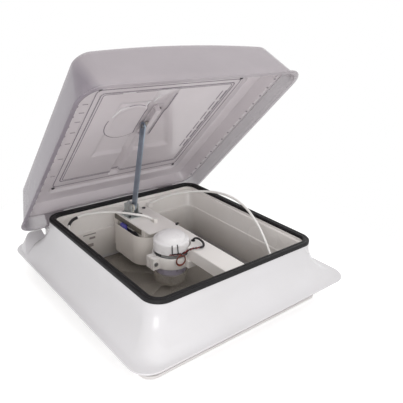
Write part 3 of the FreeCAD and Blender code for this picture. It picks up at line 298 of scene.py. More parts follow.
class Finish:
    """A material with its noise-driven colour, roughness and bump."""

    def __init__(self, name):
        self.material = bpy.data.materials.new(name)
        self.material.use_nodes = True
        self.tree = self.material.node_tree
        self.nodes, self.links = self.tree.nodes, self.tree.links
        self.shader = next(node for node in self.nodes if node.type == "BSDF_PRINCIPLED")
        self.coordinates = self.nodes.new("ShaderNodeTexCoord").outputs["Object"]

    def put(self, **values):
        for name, value in values.items():
            self.shader.inputs[name.replace("_", " ")].default_value = value
        return self

    def placed(self, setting, value):
        """The object's coordinates with a scale or rotation applied."""
        mapping = self.nodes.new("ShaderNodeMapping")
        mapping.inputs[setting].default_value = value
        self.links.new(self.coordinates, mapping.inputs["Vector"])
        return mapping.outputs["Vector"]

    def axes(self):
        """The object's coordinates, axis by axis."""
        node = self.nodes.new("ShaderNodeSeparateXYZ")
        self.links.new(self.coordinates, node.inputs["Vector"])
        return node.outputs

    def noise(self, scale, detail, rough=0.5, stretch=None):
        source = self.placed("Scale", stretch) if stretch else self.coordinates
        noise = self.nodes.new("ShaderNodeTexNoise")
        noise.inputs["Scale"].default_value = scale
        noise.inputs["Detail"].default_value = detail
        noise.inputs["Roughness"].default_value = rough
        self.links.new(source, noise.inputs["Vector"])
        return noise.outputs["Fac"]

    def ramp(self, value, stops):
        ramp = self.nodes.new("ShaderNodeValToRGB")
        while len(ramp.color_ramp.elements) < len(stops):
            ramp.color_ramp.elements.new(0.5)
        for element, (place, colour) in zip(ramp.color_ramp.elements, stops):
            element.position = place
            element.color = colour
        self.links.new(value, ramp.inputs["Fac"])
        return ramp.outputs["Color"]

    def range(self, value, low, high, from_low=0.3, from_high=0.7):
        return mapped(self.tree, value, low, high, from_low, from_high).outputs["Result"]

    def mixed(self, factor, first, second):
        node = self.nodes.new("ShaderNodeMix")
        node.data_type = "RGBA"
        self.links.new(factor, node.inputs["Factor"])
        for socket, value in ((node.inputs["A"], first), (node.inputs["B"], second)):
            if isinstance(value, tuple):
                socket.default_value = value
            else:
                self.links.new(value, socket)
        return node.outputs["Result"]

    def colour(self, value):
        self.links.new(value, self.shader.inputs["Base Color"])
        return self

    def roughness(self, value):
        self.links.new(value, self.shader.inputs["Roughness"])
        return self

    def bump(self, value, depth):
        """Adds relief, depth metres deep, on top of any there is already."""
        node = self.nodes.new("ShaderNodeBump")
        node.inputs["Strength"].default_value = 1.0
        node.inputs["Distance"].default_value = depth
        self.links.new(value, node.inputs["Height"])
        previous = self.shader.inputs["Normal"]
        if previous.is_linked:
            self.links.new(previous.links[0].from_socket, node.inputs["Normal"])
        self.links.new(node.outputs["Normal"], previous)
        return self


def shade(colour, share):
    """The colour, darker or lighter by a share."""
    return tuple(min(1.0, c * share) for c in colour[:3]) + (1.0,)


def plastic(name, colour, rough, spread=0.05, grain=0.00002, grain_scale=1800, patch=9, **values):
    """Moulded plastic: faint patches of tone, uneven gloss and a fine moulded grain."""
    finish = Finish(name)
    patches = finish.noise(patch, 4, 0.6)
    dark, light = shade(colour, 1 - spread), shade(colour, 1 + spread * 0.4)
    finish.colour(finish.ramp(patches, ((0.3, dark), (0.7, light))))
    finish.roughness(finish.range(finish.noise(patch * 5, 4, 0.65), rough * 0.82, rough * 1.25))
    finish.bump(finish.noise(grain_scale, 2), grain)
    return finish.put(**values).material


def metal(name, colour, rough, spread=0.12, stretch=(1, 1, 1)):
    """Plated or painted steel with a drawn grain and stains."""
    finish = Finish(name)
    grain = finish.noise(720, 4, 0.7, stretch)
    stains = finish.noise(60, 5, 0.65)
    base = finish.ramp(stains, ((0.3, shade(colour, 1 - spread)), (0.72, shade(colour, 1 + spread))))
    finish.colour(finish.mixed(finish.range(grain, 0.0, 0.25), base, shade(colour, 0.7)))
    finish.roughness(finish.range(grain, rough * 0.7, rough * 1.4))
    finish.bump(grain, 0.00002)
    return finish.put(Metallic=1.0).material


def moulded_white():
    """Glossy white, lighter and warmer in the well as painted light that lifts the well's shade; the well's
    tone ends under the seal.
    """
    finish = Finish("white_gelcoat")
    patches = finish.noise(9, 4, 0.6)
    outside = finish.ramp(patches, ((0.3, srgb(215, 214, 216)), (0.7, srgb(219, 218, 221))))
    # Painted light: the well's white is lighter than the outside's, to lift the shade inside it.
    well = finish.ramp(patches, ((0.3, srgb(240, 236, 232)), (0.7, srgb(245, 242, 239))))
    place = finish.axes()
    reaches = []
    for axis, half in (("X", RIM_HALF_X), ("Y", RIM_HALF_Y)):
        size, edge = calculated(finish.tree, "ABSOLUTE", place[axis]), half - TONE_INSET
        reaches.append(finish.range(size, 1.0, 0.0, (edge - 1) * MM, (edge + 1) * MM))
    finish.colour(finish.mixed(calculated(finish.tree, "MULTIPLY", *reaches), outside, well))
    finish.roughness(finish.range(finish.noise(7, 2), 0.22, 0.3, 0.0, 1.0))
    finish.bump(finish.noise(6, 1), 0.0002)
    return finish.put(Coat_Weight=0.3).material


WHITE_GLOSS = moulded_white()
WHITE_SATIN = plastic("white_satin_plastic", srgb(243, 240, 237), 0.34, spread=0.04)
POD_WHITE = plastic("pocket_plastic", srgb(228, 223, 217), 0.42, spread=0.05)
CAP_WHITE = plastic("cap_plastic", srgb(243, 242, 243), 0.28, spread=0.03, Coat_Weight=0.2)
RUBBER = plastic("black_rubber", srgb(13, 11, 14), 0.5, spread=0.25, grain=0.00006, grain_scale=700, patch=40,
                 Specular_IOR_Level=0.35)
BLACK = plastic("black_plastic", srgb(32, 30, 33), 0.42, spread=0.2, patch=60)
CONDUIT = plastic("white_vinyl", srgb(246, 245, 242), 0.34, spread=0.05, patch=30)
RED_WIRE = plastic("red_wire", srgb(128, 26, 28), 0.4, spread=0.25, patch=120)
BROWN_WIRE = plastic("brown_wire", srgb(126, 62, 48), 0.4, spread=0.3, patch=120)
BOARD = plastic("dark_circuit_board", srgb(44, 46, 56), 0.35, spread=0.3, patch=120)
BLUE_PLUG = plastic("blue_plug", srgb(88, 84, 170), 0.32, spread=0.2, patch=120)
# Grey sheet colour: painted shade on the open channel's far wall.
PAINTED_SHADE_GREY = plastic("painted_shade_sheet", srgb(112, 107, 98), 0.5, spread=0.15, patch=25)
MARK_GREY = plastic("moulded_mark", srgb(164, 156, 154), 0.45, spread=0.06)
NYLON = plastic("nylon", srgb(218, 214, 204), 0.4, spread=0.06)
TRIM = plastic("trim_plastic", srgb(236, 233, 232), 0.4, spread=0.04)
ZINC = metal("zinc_plated_steel", srgb(176, 188, 202), 0.42, stretch=(1, 0.1, 0.1))
STEEL = metal("bright_steel", srgb(176, 178, 180), 0.3)
CAN_PAINT = plastic("can_paint", srgb(206, 202, 222), 0.3, spread=0.1, patch=25, Metallic=0.4)
SCREW = metal("dark_screw", srgb(92, 90, 92), 0.38)
PALE_ZINC = metal("pale_zinc", srgb(206, 212, 212), 0.42, spread=0.06)
WHITE_METAL = plastic("white_painted_steel", srgb(246, 244, 245), 0.35, spread=0.04)


def woven_screen():
    """Grey insect mesh: a square weave seen as colour and relief on the sheet."""
    finish = Finish("insect_mesh")
    threads = []
    for rotation in (0.0, math.radians(90)):
        wave = finish.nodes.new("ShaderNodeTexWave")
        wave.inputs["Scale"].default_value = 210
        finish.links.new(finish.placed("Rotation", (0, 0, rotation)), wave.inputs["Vector"])
        threads.append(wave.outputs["Fac"])
    thread = calculated(finish.tree, "MAXIMUM", *threads)
    patches = finish.ramp(finish.noise(10, 4), ((0.3, srgb(152, 146, 138)), (0.7, srgb(166, 160, 152))))
    finish.colour(finish.mixed(finish.range(thread, 0.0, 1.0, 0.5, 0.9), srgb(122, 117, 110), patches))
    finish.bump(thread, 0.0004)
    return finish.put(Roughness=0.7).material


SCREEN = woven_screen()


def clear_plastic(name, tint, low, high, rough, left_painted_shade=None):
    """Tinted see-through plastic that turns from low to high where it is seen edge-on, with painted shade on
    the lid's left wall when a shade colour is given.
    """
    finish = Finish(name)
    patches = finish.noise(7, 4, 0.6)
    colour = finish.ramp(patches, ((0.3, shade(tint, 0.94)), (0.7, shade(tint, 1.03))))
    if left_painted_shade:
        # Painted shade: the colour darkens towards the lid's left wall.
        share = finish.range(finish.axes()["X"], 1.0, 0.0, LID_DARK_TO * MM, LID_DARK_FROM * MM)
        colour = finish.mixed(share, colour, left_painted_shade)
    finish.colour(colour)
    finish.roughness(finish.range(finish.noise(40, 4, 0.6), rough * 0.8, rough * 1.3))
    weight = finish.nodes.new("ShaderNodeLayerWeight")
    weight.inputs["Blend"].default_value = 0.5
    solid = finish.range(weight.outputs["Facing"], low, high, 0.0, 1.0)
    finish.links.new(solid, finish.shader.inputs["Alpha"])
    finish.bump(finish.noise(22, 3), 0.0006)
    return finish.put(IOR=1.5).material


# The second colour is painted shade on the lid's left wall.
LID_SMOKE = clear_plastic("smoky_acrylic", srgb(182, 175, 180), 0.5, 0.9, 0.16, left_painted_shade=srgb(150, 142, 152))
PANEL_CLEAR = clear_plastic("clear_acrylic", srgb(234, 227, 231), 0.62, 0.92, 0.1)
# Darker bead colour: painted shade along the panel's beads, steps and edges.
PANEL_SHADE_LINE = clear_plastic("clear_bead_painted_shade", srgb(152, 144, 154), 0.42, 0.8, 0.1)
# Near-white bead colour: painted highlight, on the bright edges and on every other weld spot.
PANEL_HIGHLIGHT = clear_plastic("painted_highlight_and_weld_spot", srgb(250, 248, 250), 0.6, 0.95, 0.08)
BLADE = clear_plastic("translucent_blade", srgb(158, 152, 143), 0.06, 0.3, 0.2)
HUB = clear_plastic("translucent_hub", srgb(216, 210, 200), 0.12, 0.55, 0.15)


# ---------------------------------------------------------------- base and seal
def flare(wall):
    """Concave skirt from the rim to the flange as (half_x, half_y, radius, z), a wall further in."""
    sections = []
    for step in range(23):
        turn = math.radians(90.0 * step / 22)
        spread = 1 - math.cos(turn)
        z = FLANGE_THICK + (RIM_TOP - FLANGE_THICK) * (1 - math.sin(turn))
        sections.append((RIM_HALF_X + (FLANGE_HALF_X - RIM_HALF_X) * spread - wall,
                         RIM_HALF_Y + (FLANGE_HALF_Y - RIM_HALF_Y) * spread - wall,
                         RIM_RADIUS + (FLANGE_RADIUS - RIM_RADIUS) * spread, z - wall))
    return sections


def base_mesh():
    """The base's section as (half_x, half_y, radius, z): up the neck and well, over and back inside."""
    neck, throat = (NECK_INNER, NECK_INNER, 18.0), (NECK_HALF, NECK_HALF, 20.0)
    well = (WELL_HALF_X, WELL_HALF_Y, WELL_RADIUS)
    edge = (RIM_HALF_X - SEAL_WIDTH, RIM_HALF_Y - SEAL_WIDTH, RIM_RADIUS - SEAL_WIDTH)
    sections = [(*neck, NECK_BOTTOM + 0.8), (*neck, 23.5), (173.7, 174.0, 18.3, 25.2),
                (174.4, 176.5, 19.0, 25.9), (175.1, 179.0, 19.7, 26.2), (*well, 27.4),
                (*well, 63.6), (175.9, 180.6, 20.2, 65.2), (176.8, 182.2, 20.0, 65.9),
                (177.9, 185.2, 19.0, 66.1), (178.5, 186.4, 18.7, 66.6), (*edge, 67.6),
                (*edge, RIM_TOP - 0.8), (179.4, 187.4, 19.4, RIM_TOP),
                (RIM_HALF_X - 0.8, RIM_HALF_Y - 0.8, RIM_RADIUS - 0.8, RIM_TOP)]
    sections += flare(0)[1:-1]
    sections += [(FLANGE_HALF_X - 2.2, FLANGE_HALF_Y - 2.2, FLANGE_RADIUS - 2, FLANGE_THICK),
                 (FLANGE_HALF_X - 0.7, FLANGE_HALF_Y - 0.7, FLANGE_RADIUS - 0.7, FLANGE_THICK - 0.3),
                 (FLANGE_HALF_X, FLANGE_HALF_Y, FLANGE_RADIUS, 1.8),
                 (FLANGE_HALF_X, FLANGE_HALF_Y, FLANGE_RADIUS, 0.7),
                 (FLANGE_HALF_X - 0.7, FLANGE_HALF_Y - 0.7, FLANGE_RADIUS - 0.7, 0.0),
                 (FLANGE_HALF_X - 22, FLANGE_HALF_Y - 22, FLANGE_RADIUS - 8, 0.0)]
    sections += [section for section in reversed(flare(SKIRT_WALL)) if FLANGE_THICK < section[3] < 66.0]
    sections += [(184.0, 188.5, 23.0, 62.5), (179.2, 183.4, 21.5, 60.0), (179.0, 183.0, 21.5, 24.0),
                 (178.0, 181.0, 21.0, 22.4), (*throat, 21.6), (*throat, NECK_BOTTOM + 0.8),
                 (175.4, 175.4, 19.4, NECK_BOTTOM), (174.1, 174.1, 18.6, NECK_BOTTOM)]
    loops = [rounded_loop(*section, corner=16, along_x=6, along_y=6) for section in sections]
    return mesh_of("base", *skin(loops, closed=True))


link("base_moulding", base_mesh(), "base", WHITE_GLOSS, ["base_frame"], sharp=40)


def seal_mesh():
    """Rubber seal on the rim, with a shallow groove along its top."""
    profile = ((0.0, 0.2), (0.0, 3.6), (0.35, 5.0), (1.3, 6.0), (2.8, 6.5), (5.6, 6.5), (6.3, 6.1),
               (6.9, 5.7), (7.6, 6.1), (8.3, 6.5), (10.6, 6.4), (12.2, 5.8), (13.1, 4.7),
               (SEAL_WIDTH, 3.4), (SEAL_WIDTH, 0.2))
    loops = [rounded_loop(RIM_HALF_X - inset, RIM_HALF_Y - inset, RIM_RADIUS - inset, RIM_TOP + z,
                          corner=16, along_x=4, along_y=4) for inset, z in profile]
    return mesh_of("seal", *skin(loops, closed=True))


link("rim_gasket", seal_mesh(), "base", RUBBER, ["rim_seal"], sharp=50)


# ---------------------------------------------------------------- lid
def crown(x, lowered):
    """Height of the arched top at x, lowered by a wall."""
    return LID_CROWN - lowered - (LID_CROWN - LID_EDGE_TOP) * (x / LID_HALF_X) ** 2


def lid_level(inset, n, inward=0.0, inset_y=None):
    """Level outline of the lid at height n, inset from its edge and an inward wall further in."""
    radius = max(LID_RADIUS - inset * 0.5 - inward, 6.0)
    half_y = LID_LENGTH / 2 - (inset if inset_y is None else inset_y) - inward
    loop = rounded_loop(LID_HALF_X - inset - inward, half_y, radius, n, LID_MIDDLE,
                        corner=14, along_x=14, along_y=14)
    return [Vector(point) for point in loop]


def lid_surface(inward, round_size):
    """Loops up the leaning wall, over its rounded edge and across the arched top."""
    rise = LID_CROWN - LID_FOOT
    low = lid_level(LID_LIP_IN, LID_FOOT, inward)
    high = lid_level(LID_LIP_IN + LID_LEAN_X * rise, LID_CROWN, inward, LID_LIP_IN + LID_LEAN_Y * rise)
    edges = []
    for foot, head in zip(low, high):
        edge = head
        for _ in range(4):  # closes in on the place where the wall meets the arch
            edge = foot.lerp(head, (crown(edge.x, inward) - LID_FOOT) / rise)
        edges.append(edge)
    centre = Vector((0, LID_MIDDLE, 0))

    def across(share):
        points = [edge.lerp(centre, share) for edge in edges]
        return [Vector((point.x, point.y, crown(point.x, inward))) for point in points]

    loops = [[foot.lerp(edge, share) for foot, edge in zip(low, edges)] for share in (0.0, 0.3, 0.6, 0.84)]
    start = [edge + (foot - edge).normalized() * round_size for foot, edge in zip(low, edges)]
    end = across(round_size / 200.0)
    for step in range(9):
        t = step / 8
        loops.append([a * (1 - t) ** 2 + b * (2 * t * (1 - t)) + c * t * t
                      for a, b, c in zip(start, edges, end)])
    return loops + [across(share) for share in (0.07, 0.14, 0.22, 0.32, 0.44, 0.57, 0.71, 0.85, 0.97)]


def lid_mesh():
    """Outer skin of the lid with its inside, joined round the lip."""
    lip = ((8.8, 6.6), (8.0, 5.2), (7.6, 4.4), (7.5, 0.5), (7.1, 0.0),
           (0.4, 0.0), (0.0, 0.5), (0.0, 2.2), (0.5, 3.1), (2.0, 3.7), (4.2, 4.4), (5.6, 5.4), (6.3, 6.9))
    loops = list(reversed(lid_surface(LID_WALL, 5.0)))
    loops += [lid_level(inset, n) for inset, n in lip]
    loops += lid_surface(0.0, 7.0)
    return mesh_of("lid", *skin(loops, capped=True))


link("lid_outer_shell", lid_mesh(), "lid", LID_SMOKE, ["lid_shell"], place=LID, sharp=50)


def eased(distance, width):
    """Smooth step from 0 to 1 over a width about distance 0."""
    share = np.clip(distance / width + 0.5, 0, 1)
    return share * share * (3 - 2 * share)


def panel_relief(x, u):
    """Height n of the inner panel: a raised middle with a dish, and the arm's recess in two widths."""
    raised = 4.2
    slanted_side = 75 - (u - 208) * 0.5
    sides = np.minimum(np.minimum(x + 103, slanted_side - x), np.minimum(u - 181, 356 - u))
    n = PANEL_PLANE + raised * eased(sides - 4.0, 14.0)
    dish = (1 - np.hypot((x - DISH_X) / DISH_HALF_X, (u - DISH_U) / DISH_HALF_U)) * DISH_HALF_X
    n -= raised * eased(dish, 5.0) - 1.5 * eased(dish - 7.0, 10.0)
    wide = 11.8 * np.clip((388 - u) / 56, 0, 1) * eased(u - 230, 3.0)
    wide = wide * eased(np.minimum(x + 33, 14 - x), 2.4)
    narrow = np.clip((u - 84) / 148, 0, 1) * 4.4 + 7.4
    narrow = narrow * eased(np.minimum(u - 86, 240 - u), 3.0) * eased(np.minimum(x + 29.5, -6.6 - x), 2.4)
    return np.maximum(n, np.maximum(PANEL_PLANE + wide, PANEL_PLANE + narrow * 0.94))


def panel_mesh():
    """Stepped border of rounded loops round a level grid that carries the relief."""
    corner, along_x, along_y = 12, 132, 138
    middle = -HINGE_Y
    steps = ((209.2, 215.2, 28.0, PANEL_FLANGE_N), (208.0, 214.0, 26.0, 25.6), (207.4, 213.6, 25.7, 27.0),
             (200.6, 208.8, 24.2, 47.6), (200.0, 208.4, 24.0, 48.5), (198.8, 207.2, 23.0, SEAL_PLANE),
             (185.0, 192.0, 18.0, SEAL_PLANE), (170.2, 177.2, 14.6, SEAL_PLANE), (168.8, 175.8, 14.1, 49.1),
             (168.2, 175.2, 13.8, 50.0), (165.6, 172.6, 12.4, 54.0), (165.0, 172.0, 12.0, 54.7),
             (164.0, 171.0, 12.0, PANEL_PLANE))
    sections = [(221.4, 226.8, 32.0, PANEL_FLANGE_N, LID_MIDDLE),
                (213.5, 219.4, 30.0, PANEL_FLANGE_N, middle - 2)] + [(*step, middle) for step in steps]
    loops = [rounded_loop(*section, corner=corner, along_x=along_x, along_y=along_y) for section in sections]
    points, faces = skin(loops)
    border = (len(loops) - 1) * len(loops[0])
    half_x, half_y, radius = 161.0, 168.0, 12.0
    half = corner // 2

    def lines(extent, pieces):
        """Grid lines from edge to edge that meet the points of the border's loops."""
        inner = np.linspace(-(extent - radius), extent - radius, pieces + 1)
        edge = np.linspace(radius / half, radius, half)
        return np.concatenate([-(extent - radius) - edge[::-1], inner, extent - radius + edge])

    xs, ys = lines(half_x, along_x), middle + lines(half_y, along_y)
    grid_x, grid_y = np.meshgrid(xs, ys)
    heights = panel_relief(grid_x, -grid_y)
    offset = len(points)
    rows, columns = grid_x.shape
    for row in range(rows):
        for column in range(columns):
            points.append((grid_x[row, column], grid_y[row, column], heights[row, column]))
    for row in range(rows - 1):
        for column in range(columns - 1):
            first = offset + row * columns + column
            faces.append((first, first + 1, first + columns + 1, first + columns))
    ring = [(rows - 1, columns - 1 - k) for k in range(columns - 1)]
    ring += [(rows - 1 - k, 0) for k in range(rows - 1)]
    ring += [(0, k) for k in range(columns - 1)]
    ring += [(k, columns - 1) for k in range(rows - 1)]
    ring = [offset + row * columns + column for row, column in ring]
    count = len(loops[0])
    for k in range(count):
        right = (k + 1) % count
        faces.append((border + k, border + right, ring[right], ring[k]))
    return mesh_of("panel", points, faces, outward=False)


panel = link("lid_clear_panel", panel_mesh(), "lid", PANEL_CLEAR, ["lid_inner_panel"], place=LID, sharp=0)
thickness = panel.modifiers.new("skin", "SOLIDIFY")
thickness.thickness = PANEL_SKIN * MM
thickness.offset = 1.0


def loop_bead(half_x, u_low, u_high, radius, n, size):
    """Half-buried round bead along a rounded rectangle, following the panel's relief."""
    loops = []
    for step in range(8):
        turn = math.radians(45.0 * step)
        shift, rise = size * math.cos(turn), size * 0.8 * math.sin(turn)
        loop = rounded_loop(half_x + shift, (u_high - u_low) / 2 + shift, radius + shift, n + rise,
                            -(u_low + u_high) / 2, corner=8, along_x=120, along_y=6)
        xs, ys, _ = np.array(loop).T
        heights = panel_relief(xs, -ys) - PANEL_PLANE
        loops.append([(x, y, z + height) for (x, y, z), height in zip(loop, heights)])
    return mesh_of("bead", *skin(loops, closed=True))


def relief_line(points, size):
    """Thin bead that follows the panel's relief through (x, u) points."""
    xs = np.array([x for x, _ in points], dtype=float)
    us = np.array([u for _, u in points], dtype=float)
    heights = panel_relief(xs, us)
    line = [Vector((x, -u, n)) for x, u, n in zip(xs, us, heights)]
    return tube(line, size, 8)


def dish_edge(first, last, size):
    """Bead on the rim of the round dish between two angles in degrees."""
    turns = [math.radians(first + (last - first) * step / 48) for step in range(49)]
    return relief_line([(DISH_X + DISH_HALF_X * math.cos(turn), DISH_U + DISH_HALF_U * math.sin(turn))
                        for turn in turns], size)


def straight_edge(start, end, size):
    """Bead along a straight edge between two (x, u) points."""
    across, along = end[0] - start[0], end[1] - start[1]
    return relief_line([(start[0] + across * step / 24, start[1] + along * step / 24)
                        for step in range(25)], size)


def relief_lines():
    """Beads on the edges of the dish and of the recess the slider runs in, drawn dark as painted shade along
    those edges.
    """
    return [dish_edge(165.0, 304.0, 1.0), dish_edge(62.0, 110.0, 0.7),
            straight_edge((-34.0, 250.0), (-34.0, 342.0), 0.9),
            straight_edge((15.0, 234.0), (14.6, 370.0), 0.9),
            straight_edge((-30.0, 389.0), (16.0, 389.0), 0.9)]


def painted_highlight_edges():
    """Painted highlights: bright beads along edges of the dish, the slider's recess and the frame."""
    return joined("edges", [dish_edge(108.0, 152.0, 1.5), straight_edge((-37.0, 338.0), (-37.0, 352.0), 1.9),
                            straight_edge((-18.5, 338.0), (-17.5, 362.0), 1.9),
                            straight_edge((-108.0, 385.0), (-82.0, 385.0), 0.9)])


def panel_details():
    """Beads, dashes and ticks moulded on the side that faces the opening, drawn in the darker bead colour as
    painted shade along the relief.
    """
    pieces = [loop_bead(160.0, 78.0, 399.0, 9.0, 54.9, 1.1), loop_bead(149.5, 98.0, 389.0, 7.0, 54.9, 1.2),
              loop_bead(144.5, 102.0, 385.0, 5.0, 54.9, 0.8)] + relief_lines()
    for x in (131.0, 141.0):
        for step in range(6):
            low = 162.0 + 35.0 * step
            pieces.append(block(x - 0.9, x + 0.9, -low - 28.0, -low, 53.9, 55.3, 0.5))
    for u in (140.0, 205.0, 257.0, 292.0, 324.0, 350.0, 373.0):
        pieces.append(block(-181.5, -171.5, -u - 0.8, -u + 0.8, 48.0, 49.1, 0.4))
    return joined("details", pieces)


def panel_welds(first):
    """Every other weld spot along the clear panel's edge, with a corner mark beside the odd ones."""
    spot = ((0.2, 26.6), (1.4, 26.3), (2.0, 25.6), (2.2, 24.9), (2.0, 24.2), (1.4, 23.6), (0.2, 23.3))
    pieces = []
    for side in (-1, 1):
        for step in range(first, 30, 2):
            centre = (side * 209.5, -(42.0 + 13.4 * step))
            pieces.append(mesh_of("spot", *lathe(spot, *centre, steps=10, closed=False)))
    if first:
        pieces.append(block(152.0, 206.0, -446.6, -445.2, 23.9, 25.2, 0.4))
        pieces.append(block(205.0, 206.6, -446.6, -436.0, 23.9, 25.2, 0.4))
    return joined("welds", pieces)


# The beads' darker colour is painted shade.
link("panel_beads", panel_details(), "lid", PANEL_SHADE_LINE, place=LID, sharp=0)
# The even weld spots carry painted highlight and the odd ones painted shade: lit and shaded copies of one
# spot.
link("panel_weld_spots", panel_welds(0), "lid", PANEL_HIGHLIGHT, place=LID, sharp=0)
# Painted highlights along edges of the relief.
link("panel_painted_highlight_edges", painted_highlight_edges(), "lid", PANEL_HIGHLIGHT, place=LID, sharp=0)
# Odd weld spots and corner marks in the darker bead colour, as painted shade.
link("panel_weld_marks", panel_welds(1), "lid", PANEL_SHADE_LINE, place=LID, sharp=0)


# ---------------------------------------------------------------- motor and fan
def cap_mesh():
    """Motor cap with a rounded shoulder and a low dome, and its inside."""
    profile = [(CAP_RADIUS, CAP_BOTTOM), (CAP_RADIUS, 58.2), (36.3, 59.6), (35.7, 60.8), (34.7, 61.7),
               (33.4, 62.3), (31.8, 62.8), (30.6, 63.4), (29.8, 64.6), (28.9, 66.4), (27.4, 68.4),
               (25.0, 70.3), (21.6, 72.0), (17.2, 73.4), (12.0, 74.4), (6.0, 74.9), (0.6, CAP_TOP),
               (0.6, 73.4), (12.0, 72.8), (22.0, 70.0), (30.0, 62.0), (34.8, 57.0), (34.8, CAP_BOTTOM)]
    return mesh_of("cap", *lathe(profile, MOTOR_X, MOTOR_Y, steps=96))


def around_motor(degrees, reach, z):
    """Point at a reach and bearing from the motor's axis."""
    turn = math.radians(degrees)
    return Vector((MOTOR_X + reach * math.cos(turn), MOTOR_Y + reach * math.sin(turn), z))


def twisted(route, radius, gap, turns, phase):
    """One strand of a pair that winds round a route."""
    points = []
    line = spline_points(route, 120)
    for index, point in enumerate(line):
        way = (line[min(index + 1, len(line) - 1)] - line[max(index - 1, 0)]).normalized()
        side = way.cross(Vector((0, 0, 1))).normalized()
        turn = phase + 2 * math.pi * turns * index / (len(line) - 1)
        points.append(point + (side * math.cos(turn) + side.cross(way) * math.sin(turn)) * gap)
    return tube(points, radius, 10)


def cap_wires():
    """Two black wires down the cap to a knot above the clamp, and the black strand of the pair."""
    pieces = []
    for degrees, top, drift in ((236.5, 61.0, 1.0), (253.0, 62.5, 3.0)):
        route = [around_motor(degrees, 35.0, top), around_motor(degrees, 37.8, top - 1.5),
                 around_motor(degrees + drift * 0.3, 37.6, 52.0), around_motor(degrees + drift, 38.2, 43.0)]
        pieces.append(tube(spline_points(route, 60), 1.05, 10))
    for low, first, last, reach in ((42.6, 231.0, 256.0, 38.0), (43.9, 236.0, 262.0, 38.4)):
        route = [around_motor(first + (last - first) * k / 6, reach + 0.7 * (k % 2),
                              low + 0.9 * ((k + 1) % 2)) for k in range(7)]
        pieces.append(tube(spline_points(route, 90), 1.1, 10))
    pieces.append(twisted(TWIST_ROUTE, 1.0, 1.05, 3.0, 0.0))
    return joined("wires", pieces)


def red_wires():
    """Red wire that weaves round the knot and winds with the black one to the sleeve."""
    route = [around_motor(229.0 + 6.0 * k, 38.3 + 0.8 * ((k + 1) % 2), 42.4 + 1.6 * (k % 2))
             for k in range(7)]
    pieces = [tube(spline_points(route, 90), 1.0, 10), twisted(TWIST_ROUTE, 1.05, 1.05, 3.0, math.pi)]
    return joined("red", pieces)


def wire_loop():
    """Loop of wire hanging from the knot, wound twice."""
    centre = around_motor(math.degrees(LOOP_FACING), 40.0, 29.5)
    side = Vector((-math.sin(LOOP_FACING), math.cos(LOOP_FACING), 0))
    out = Vector((math.cos(LOOP_FACING), math.sin(LOOP_FACING), 0))
    route = []
    for step in range(49):
        turn = math.radians(78.0 + 15.0 * step)
        size = LOOP_SIZE + 0.7 * math.sin(turn * 0.5)
        route.append(centre + side * size * math.cos(turn) + Vector((0, 0, 1)) * size * 1.04 * math.sin(turn)
                     + out * 0.8 * math.sin(turn * 0.5))
    route.append(around_motor(258.0, 39.2, 42.6))
    return tube(route, 1.15, 10)


link("motor_cap_moulding", cap_mesh(), "base", CAP_WHITE, ["motor_cap"], sharp=60)
link("cap_lead_pair", cap_wires(), "base", BLACK, ["motor_leads"], sharp=0)
link("red_lead", red_wires(), "base", RED_WIRE, sharp=0)
link("spare_lead_loop", wire_loop(), "base", BROWN_WIRE, ["lead_loop"], sharp=0)
link("lead_sleeve_tube", tube(spline_points(SLEEVE_ROUTE, 140), LEAD_SLEEVE_RADIUS), "base", BLACK,
     ["lead_sleeve"], sharp=0)


def band_patch():
    """Black strip of tape on the steel band."""
    rings = []
    for k in range(13):
        rings.append([around_motor(166.0 + 34.0 * k / 12, reach, z)
                      for reach, z in ((34.45, 34.2), (34.8, 34.2), (34.8, 40.6), (34.45, 40.6))])
    return mesh_of("patch", *skin(rings, capped=True))


link("band_tape", band_patch(), "base", BLACK, sharp=30)


def blade_sections():
    """Pitched, slightly hollow blade from the hub out to its rounded tip."""
    rows = []
    for step in range(17):
        share = step / 16
        reach = BLADE_ROOT + (FAN_RADIUS - BLADE_ROOT) * share
        chord = 27.0 + 62.0 * share ** 0.8
        if share > 0.9:
            chord *= math.sqrt(max(1 - ((share - 0.9) / 0.13) ** 2, 0.1))
        rise = 9.6 + 1.0 * math.sin(math.pi * share)
        row = []
        for k in range(24):
            turn = 2 * math.pi * k / 24
            along = math.cos(turn)
            thick = 0.95 * math.sin(turn) * (1 - 0.45 * along * along)
            hollow = -1.4 * (1 - along * along)
            row.append((math.sqrt(max(reach ** 2 - (chord * along / 2) ** 2, 900.0)), chord * along / 2,
                        -28.4 + rise * along / 2 + hollow + thick))
        rows.append(row)
    return rows


def fan_meshes():
    """The hub's bowl, and the blades round it."""
    hub = ((4.0, 0.0), (22.0, 0.0), (26.5, 1.0), (30.6, 4.4), (33.2, 10.0), (34.9, 20.0), (36.0, 30.0),
           (35.6, 30.8), (34.4, 30.8), (34.0, 30.0), (33.0, 20.0), (31.4, 11.0), (28.8, 6.0), (24.4, 2.2),
           (8.0, 2.0), (8.0, 12.0), (4.0, 12.0))
    profile = [(radius, HUB_BOTTOM + height) for radius, height in hub]
    bowl = mesh_of("bowl", *lathe(profile, MOTOR_X, MOTOR_Y, steps=96))
    blades = []
    for index in range(BLADE_COUNT):
        blade = mesh_of("blade", *skin(blade_sections(), capped=True))
        turn = Matrix.Rotation(math.radians(360.0 * index / BLADE_COUNT + 188.0), 4, "Z")
        blade.transform(Matrix.Translation((MOTOR_X, MOTOR_Y, 0)) @ turn)
        blades.append(blade)
    return bowl, joined("blades", blades)


bowl, blades = fan_meshes()
link("fan_hub_bowl", bowl, "fan", HUB, ["fan_rotor"], sharp=45)
link("fan_blades", blades, "fan", BLADE, sharp=50)


